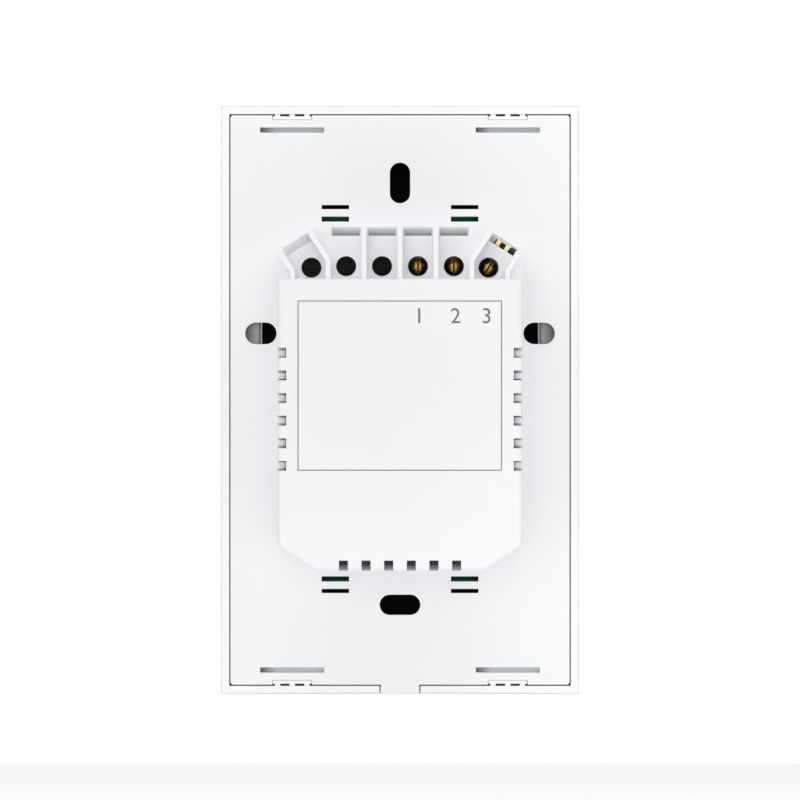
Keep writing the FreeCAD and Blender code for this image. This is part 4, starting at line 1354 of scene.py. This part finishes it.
@dataclass
class Linings:
    """Thin sheets of painted shade in the recesses of the back: in the flex grooves, on the wire-entry
    sills, in the vents and at the end of the leaning wire entry, in millimetres.
    """

    maker: Maker
    thick: float = 0.05
    groove_places: tuple[Span, ...] = ((22.0, 55.1), (22.0, -55.1), (-22.0, 55.1), (-22.0, -55.1))
    groove_floor: float = -1.5
    groove_half: Span = (6.5, 0.5)
    groove_steep: float = 4.0
    vent_places: tuple[float, ...] = (-11.5, -6.9, -2.3, 2.3, 6.9, 11.5)
    vent_floor: Span = (3.0, -33.95)
    vent_half: Span = (0.89, 0.85)
    sill_places: tuple[float, ...] = (3.65, 10.95, -3.65, -10.95)
    sill_floor: Span = (5.6, 34.15)
    sill_half: Span = (2.7, 0.88)
    end_place: Point = (-2.3, 5.6, 5.5)
    end_half: Span = (0.55, 0.75)
    end_steep: float = 0.25
    end_turn: Point = (-18.0, 26.9, math.radians(32.66))

    def build(self) -> None:
        """Build the sheets of painted shade of each kind as one piece."""
        floor = self.groove_floor
        groove_shades = [
            self.sheet((across, floor, up), self.groove_half, Run.ACROSS, -1, self.groove_steep)
            for across, up in self.groove_places
        ]
        self.lay(groove_shades, "groove_shade_sheets", Finishes.WEB)
        recess_shades = [
            self.sheet((across, *self.vent_floor), self.vent_half, Run.UP, -1) for across in self.vent_places
        ]
        self.lay([*recess_shades, self.turned()], "recess_shade_sheets", Finishes.FISH_PAPER)
        sill_shades = [
            self.sheet((across, *self.sill_floor), self.sill_half, Run.UP, 1) for across in self.sill_places
        ]
        self.lay(sill_shades, "sill_shade_sheets", Finishes.SILL)

    def sheet(self, place: Point, half: Span, run: Run, way: int, steep: float = 1.0) -> Piece:
        """One thin sheet of painted shade whose attribute named share runs from 0 to 1, from its darkest
        colour to its lightest.

        Args:
            place: middle of its seat.
            half: half its size across and up.
            run: along which way the share changes.
            way: 1 if it grows with the coordinate, -1 if it falls.
            steep: how many times faster than the sheet's length it reaches 1.

        Returns:
            The sheet.
        """
        across, floor, up = place
        low = (across - half[0], floor, up - half[1])
        high = (across + half[0], floor + self.thick, up + half[1])
        piece = Bench.block("sheet", low, high)
        Bench.bevel(piece, 0.015)
        Bench.open(piece)
        bpy.ops.mesh.subdivide(number_cuts=7)
        bpy.ops.object.mode_set(mode="OBJECT")
        share = piece.data.attributes.new("share", "FLOAT", "POINT")
        reach = half[0] if run is Run.ACROSS else half[1]
        for point, vertex in zip(share.data, piece.data.vertices):
            part = 0.5 + way * (vertex.co[run.value] / MM - place[run.value]) / (2 * reach)
            point.value = max(0.0, min(1.0, part * steep))
        return piece

    def turned(self) -> Piece:
        """The sheet of painted shade at the end of the leaning wire entry.

        Returns:
            The sheet.
        """
        across, up, lean = self.end_turn
        piece = self.sheet(self.end_place, self.end_half, Run.UP, 1, self.end_steep)
        return Bench.moved(piece, at((across, 0, up)) @ Matrix.Rotation(-lean, 4, "Y"))

    def lay(self, pieces: list[Piece], name: str, finish: Finishes) -> None:
        """Join the pieces of one kind and dress them.

        Args:
            pieces: the sheets.
            name: name of the whole.
            finish: its finish.
        """
        whole = Bench.join(pieces, name)
        Bench.done(whole)
        self.maker.fit(whole, Body.BASE, finish, slot="shell_white")


@dataclass
class TouchBoardParts:
    """Small parts and pads on the open margin of the touch board's front, in millimetres."""

    maker: Maker
    face: float = -4.4
    side: float = 22.0
    half_length: float = 0.8
    half_width: float = 0.4
    height: float = 0.45
    cap: float = 0.32
    body_end: float = 0.3
    cap_rise: float = 0.02
    pitch: float = 5.2
    steps: int = 5
    free: tuple[int, ...] = (-4, 0, 2, 5)
    pads: int = 5
    pad_pitch: float = 4.0
    pad_row: float = 35.2
    pad_radius: float = 0.8
    pad_height: float = 0.06

    def build(self) -> None:
        """Build the chip parts with their tinned ends, and a row of gilded test pads."""
        bodies = []
        ends = []
        for side in (-1, 1):
            for step in range(-self.steps, self.steps + 1):
                if side * step not in self.free:
                    body, caps = self.chip(side * self.side, step * self.pitch)
                    bodies.append(body)
                    ends += caps
        self.maker.fit(Bench.join(bodies, "chip_parts", 0.06), Body.BASE, Finishes.CHIP)
        self.maker.fit(Bench.join(ends, "chip_part_ends", 0.06, 2), Body.BASE, Finishes.TIN)
        pads = []
        for step in range(self.pads):
            across = (step - (self.pads - 1) / 2) * self.pad_pitch
            foot = (across, self.face - self.pad_height, self.pad_row)
            pads.append(Bench.rod("pad", foot, self.pad_height, self.pad_radius, 28))
        whole = Bench.join(pads, "test_pads", 0.02)
        self.maker.fit(whole, Body.BASE, Finishes.GOLD, slot="contact_brass")

    def chip(self, across: float, up: float) -> tuple[Piece, list[Piece]]:
        """One chip part.

        Args:
            across: its middle across.
            up: its middle up.

        Returns:
            Its body and its two tinned ends.
        """
        left, right = across - self.half_width, across + self.half_width
        near, reach = self.face - self.height, self.half_length - self.body_end
        body = Bench.block("chip", (left, near, up - reach), (right, self.face, up + reach))
        caps = []
        for end in (-1, 1):
            low, high = sorted((up + end * self.half_length, up + end * (self.half_length - self.cap)))
            caps.append(Bench.block("end", (left, near - self.cap_rise, low), (right, self.face, high)))
        return body, caps


@dataclass
class TouchSprings:
    """The three coil springs between the touch board and the glass, in millimetres."""

    maker: Maker
    radius: float = 3.75
    wire: float = 0.5
    foot: float = -4.4
    tip: float = -6.7
    turns: float = 2.5
    spacing: float = 22.0
    steps: int = 40

    def build(self) -> None:
        """Model one coil, and put a copy at each touch point."""
        moves = {f"sensing_coil_{order}": at((0, 0, (order - 2) * self.spacing)) for order in (1, 2, 3)}
        for order, piece in enumerate(Bench.copies(self.coil(), moves), start=1):
            self.maker.fit(piece, Body.BASE, Finishes.SPRING, [f"touch_spring_{order}"])

    def coil(self) -> Piece:
        """A ring of wire drawn out along the helix by a screw modifier.

        Returns:
            The coil at the middle touch point.
        """
        Bench.clear()
        start = Vector((self.radius, self.foot - self.wire / 2, 0)) * MM
        bpy.ops.mesh.primitive_circle_add(
            vertices=12, radius=self.wire / 2 * MM, fill_type="NGON", location=start
        )
        piece = Bench.named("coil_model")
        screw = piece.modifiers.new("turns", "SCREW")
        screw.axis = "Y"
        screw.angle = math.tau * self.turns
        screw.screw_offset = (self.tip - self.foot + self.wire) * MM
        screw.iterations = 1
        screw.steps = screw.render_steps = int(self.steps * self.turns)
        Bench.apply(piece, screw)
        Bench.open(piece)
        bpy.ops.mesh.normals_make_consistent(inside=False)
        Bench.done(piece, 60)
        return piece


@dataclass
class FrontMarks:
    """What the glass shows of its touch points: a ring, a plus, a minus and five dots, in millimetres."""

    maker: Maker
    face: float = -10.0
    height: float = 0.012
    edge: float = 0.004
    ring: float = 4.2
    line: float = 0.55
    arm: float = 2.6
    spacing: float = 22.0
    dots: int = 5
    dot: float = 0.7
    dot_place: float = 14.0
    dot_pitch: float = 6.0

    def build(self) -> None:
        """Build all the marks."""
        self.disc("touch_ring", (0, 0), self.ring, self.ring - self.line)
        self.bars("raise_mark", self.spacing, True)
        self.bars("lower_mark", -self.spacing, False)
        for order in range(self.dots):
            place = (self.dot_place, (order - (self.dots - 1) / 2) * self.dot_pitch)
            self.disc(f"level_dot_{order + 1}", place, self.dot, 0)

    def disc(self, name: str, place: Span, outer: float, inner: float) -> None:
        """A flat disc or ring.

        Args:
            name: name of the piece.
            place: middle, across and up.
            outer: outer radius.
            inner: inner radius, or 0 for a disc.
        """
        across, up = place
        piece = Bench.rod(name, (across, self.face - self.height, up), self.height, outer, 64)
        if inner:
            Bench.cut(piece, Bench.rod("hole", (across, self.face - 1, up), 2, inner, 64))
        Bench.bevel(piece, self.edge)
        Bench.done(piece)
        self.maker.fit(piece, Body.COVER, Finishes.MARK, slot="front_glass")

    def bars(self, name: str, up: float, crossed: bool) -> None:
        """A minus, or a plus with a stem above and below its bar.

        Args:
            name: name of the piece.
            up: middle of the mark.
            crossed: whether it is a plus.
        """
        half = self.line / 2
        near, far = self.face - self.height, self.face
        pieces = [Bench.block(name, (-self.arm, near, up - half), (self.arm, far, up + half))]
        if crossed:
            for low, high in ((half, self.arm), (-self.arm, -half)):
                pieces.append(Bench.block("stem", (-half, near, up + low), (half, far, up + high)))
        whole = Bench.join(pieces, name, self.edge)
        self.maker.fit(whole, Body.COVER, Finishes.MARK, slot="front_glass")


@dataclass(frozen=True)
class Sun:
    """A distant soft lamp: the way towards it, its strength, and its spread in degrees."""

    name: str
    way: Point
    strength: float
    spread: float
    mirrored: bool = True


@dataclass(frozen=True)
class Strip:
    """A long lamp near the object that the camera doesn't see. Place, target and size are in metres."""

    name: str
    place: Point
    target: Point
    power: float
    size: Span


@dataclass
class Studio:
    """The photograph's plain white surroundings: camera, floor, and soft light above and from the left."""

    frame_width: float = 0.16327
    distance: float = 5.0
    sensor: float = 36.0
    floor_height: float = -0.0845
    floor_radius: float = 0.7
    floor_glow: float = 0.48
    world_light: float = 0.29
    suns: tuple[Sun, ...] = (
        Sun("key", (0.42, 1.0, 0.05), 0.29, 40),
        Sun("frontal", (0.0, 1.0, 0.1), 0.3, 26),
        Sun("front_key", (-0.4, -1.0, 0.2), 1.3, 50, False),
        Sun("front_fill", (0.7, -1.0, 0.1), 0.6, 60, False),
    )
    strips: tuple[Strip, ...] = (
        Strip("upper_strip", (0.0, 0.11, 0.15), (0.0, 0.0, 0.03), 0.15, (0.3, 0.05)),
        Strip("lower_strip", (0.0, 0.1, -0.07), (0.0, 0.0, -0.05), 0.039, (0.3, 0.02)),
        Strip("right_strip", (-0.1, 0.08, 0.0), (-0.03, 0.0, 0.0), 0.026, (0.03, 0.15)),
        Strip("left_strip", (0.1, 0.08, 0.0), (0.03, 0.0, 0.0), 0.016, (0.03, 0.15)),
    )

    def build(self) -> None:
        """Build camera, floor, lamps and world."""
        self.camera()
        self.floor()
        self.lamps()
        self.world()
        bpy.context.scene.view_settings.view_transform = "Standard"

    def camera(self) -> None:
        """Look straight at the back."""
        data = bpy.data.cameras.new("camera")
        data.sensor_width = self.sensor
        data.lens = self.sensor * self.distance / self.frame_width
        data.clip_end = 50.0
        camera = bpy.data.objects.new("camera", data)
        camera.location = (0, self.distance, 0)
        camera.rotation_euler = (math.radians(90), 0, math.radians(180))
        bpy.context.scene.collection.objects.link(camera)
        bpy.context.scene.camera = camera

    def floor(self) -> None:
        """A pale round floor below the object, lit up for the camera and for reflections alone."""
        Bench.clear()
        bpy.ops.mesh.primitive_circle_add(
            vertices=96, radius=self.floor_radius, fill_type="NGON", location=(0, 0, self.floor_height)
        )
        floor = Bench.named("floor")
        nodes = Surface("pale_floor")
        path = nodes.add("ShaderNodeLightPath").outputs
        seen = nodes.maths("MAXIMUM", path["Is Camera Ray"], path["Is Glossy Ray"])
        material = nodes.finished(
            Base_Color=nodes.mix(nodes.noise(8.0), (0.86,) * 3, (0.88,) * 3),
            Roughness=0.9,
            Emission_Color=(1.0, 1.0, 1.0, 1.0),
            Emission_Strength=nodes.maths("MULTIPLY", seen, self.floor_glow),
        )
        floor.data.materials.append(material)

    def lamps(self) -> None:
        """Broad light on the back and on the front, and strips round the back."""
        for sun in self.suns:
            data = bpy.data.lights.new(sun.name, "SUN")
            data.energy = sun.strength
            data.angle = math.radians(sun.spread)
            lamp = self.hang(data, Vector(), Vector(sun.way))
            lamp.visible_glossy = sun.mirrored
        for strip in self.strips:
            data = bpy.data.lights.new(strip.name, "AREA")
            data.energy = strip.power
            data.shape = "RECTANGLE"
            data.size, data.size_y = strip.size
            place = Vector(strip.place)
            lamp = self.hang(data, place, place - Vector(strip.target))
            lamp.visible_camera = False

    @staticmethod
    def hang(data: bpy.types.Light, place: Vector, way: Vector) -> Piece:
        """Put a lamp in its place and turn it.

        Args:
            data: the lamp's light.
            place: where it hangs.
            way: from what it shines on towards the lamp.

        Returns:
            The lamp.
        """
        lamp = bpy.data.objects.new(data.name, data)
        lamp.location = place
        lamp.rotation_mode = "QUATERNION"
        lamp.rotation_quaternion = way.to_track_quat("Z", "Y")
        bpy.context.scene.collection.objects.link(lamp)
        return lamp

    def world(self) -> None:
        """White where the camera or a reflection sees it, and a plain level for light."""
        world = bpy.data.worlds.new("studio")
        world.use_nodes = True
        nodes = Nodes(world.node_tree)
        back = world.node_tree.nodes["Background"]
        path = nodes.add("ShaderNodeLightPath").outputs
        seen = nodes.maths("MAXIMUM", path["Is Camera Ray"], path["Is Glossy Ray"])
        seen = nodes.maths("MAXIMUM", seen, path["Is Transmission Ray"])
        nodes.feed(back, "Strength", nodes.between(seen, self.world_light, 1.0))
        nodes.feed(back, "Color", (1.0, 1.0, 1.0, 1.0))
        bpy.context.scene.world = world


def main() -> None:
    """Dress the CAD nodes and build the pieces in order."""
    logging.basicConfig(level=logging.INFO, format="%(message)s")
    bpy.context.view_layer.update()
    paint = Paint()
    for name, finish in NODE_FINISHES.items():
        paint.dress(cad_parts[name], finish)
    maker = Maker(paint)
    Studio().build()
    clamp_screw = Fastener(1.5, 4.7, 1.8, 1.4, Drive.SLOT, 0.36, 0.75, rim=0.35)
    board_screw = Fastener(1.3, 8.0, 2.2, 1.5, Drive.CROSS, 0.5, 0.9, pitch=0.9)
    sink_screw = Fastener(1.3, 4.8, 2.3, 1.4, Drive.CROSS, 0.5, 0.9)
    parts = (
        Label(maker),
        Terminals(maker, clamp_screw),
        BoardFasteners(maker, board_screw, sink_screw),
        TouchSprings(maker),
        FrontCover(maker),
        VentBars(maker),
        Linings(maker),
        TouchBoardParts(maker),
        Choke(maker),
        Capacitor(maker, 1, -12.0, -24.0, 16.0),
        Capacitor(maker, 2, -0.6, -25.4, 14.0),
        Bobbin(maker),
        FrontMarks(maker),
    )
    for part in parts:
        part.build()


if __name__ == "__main__":
    main()
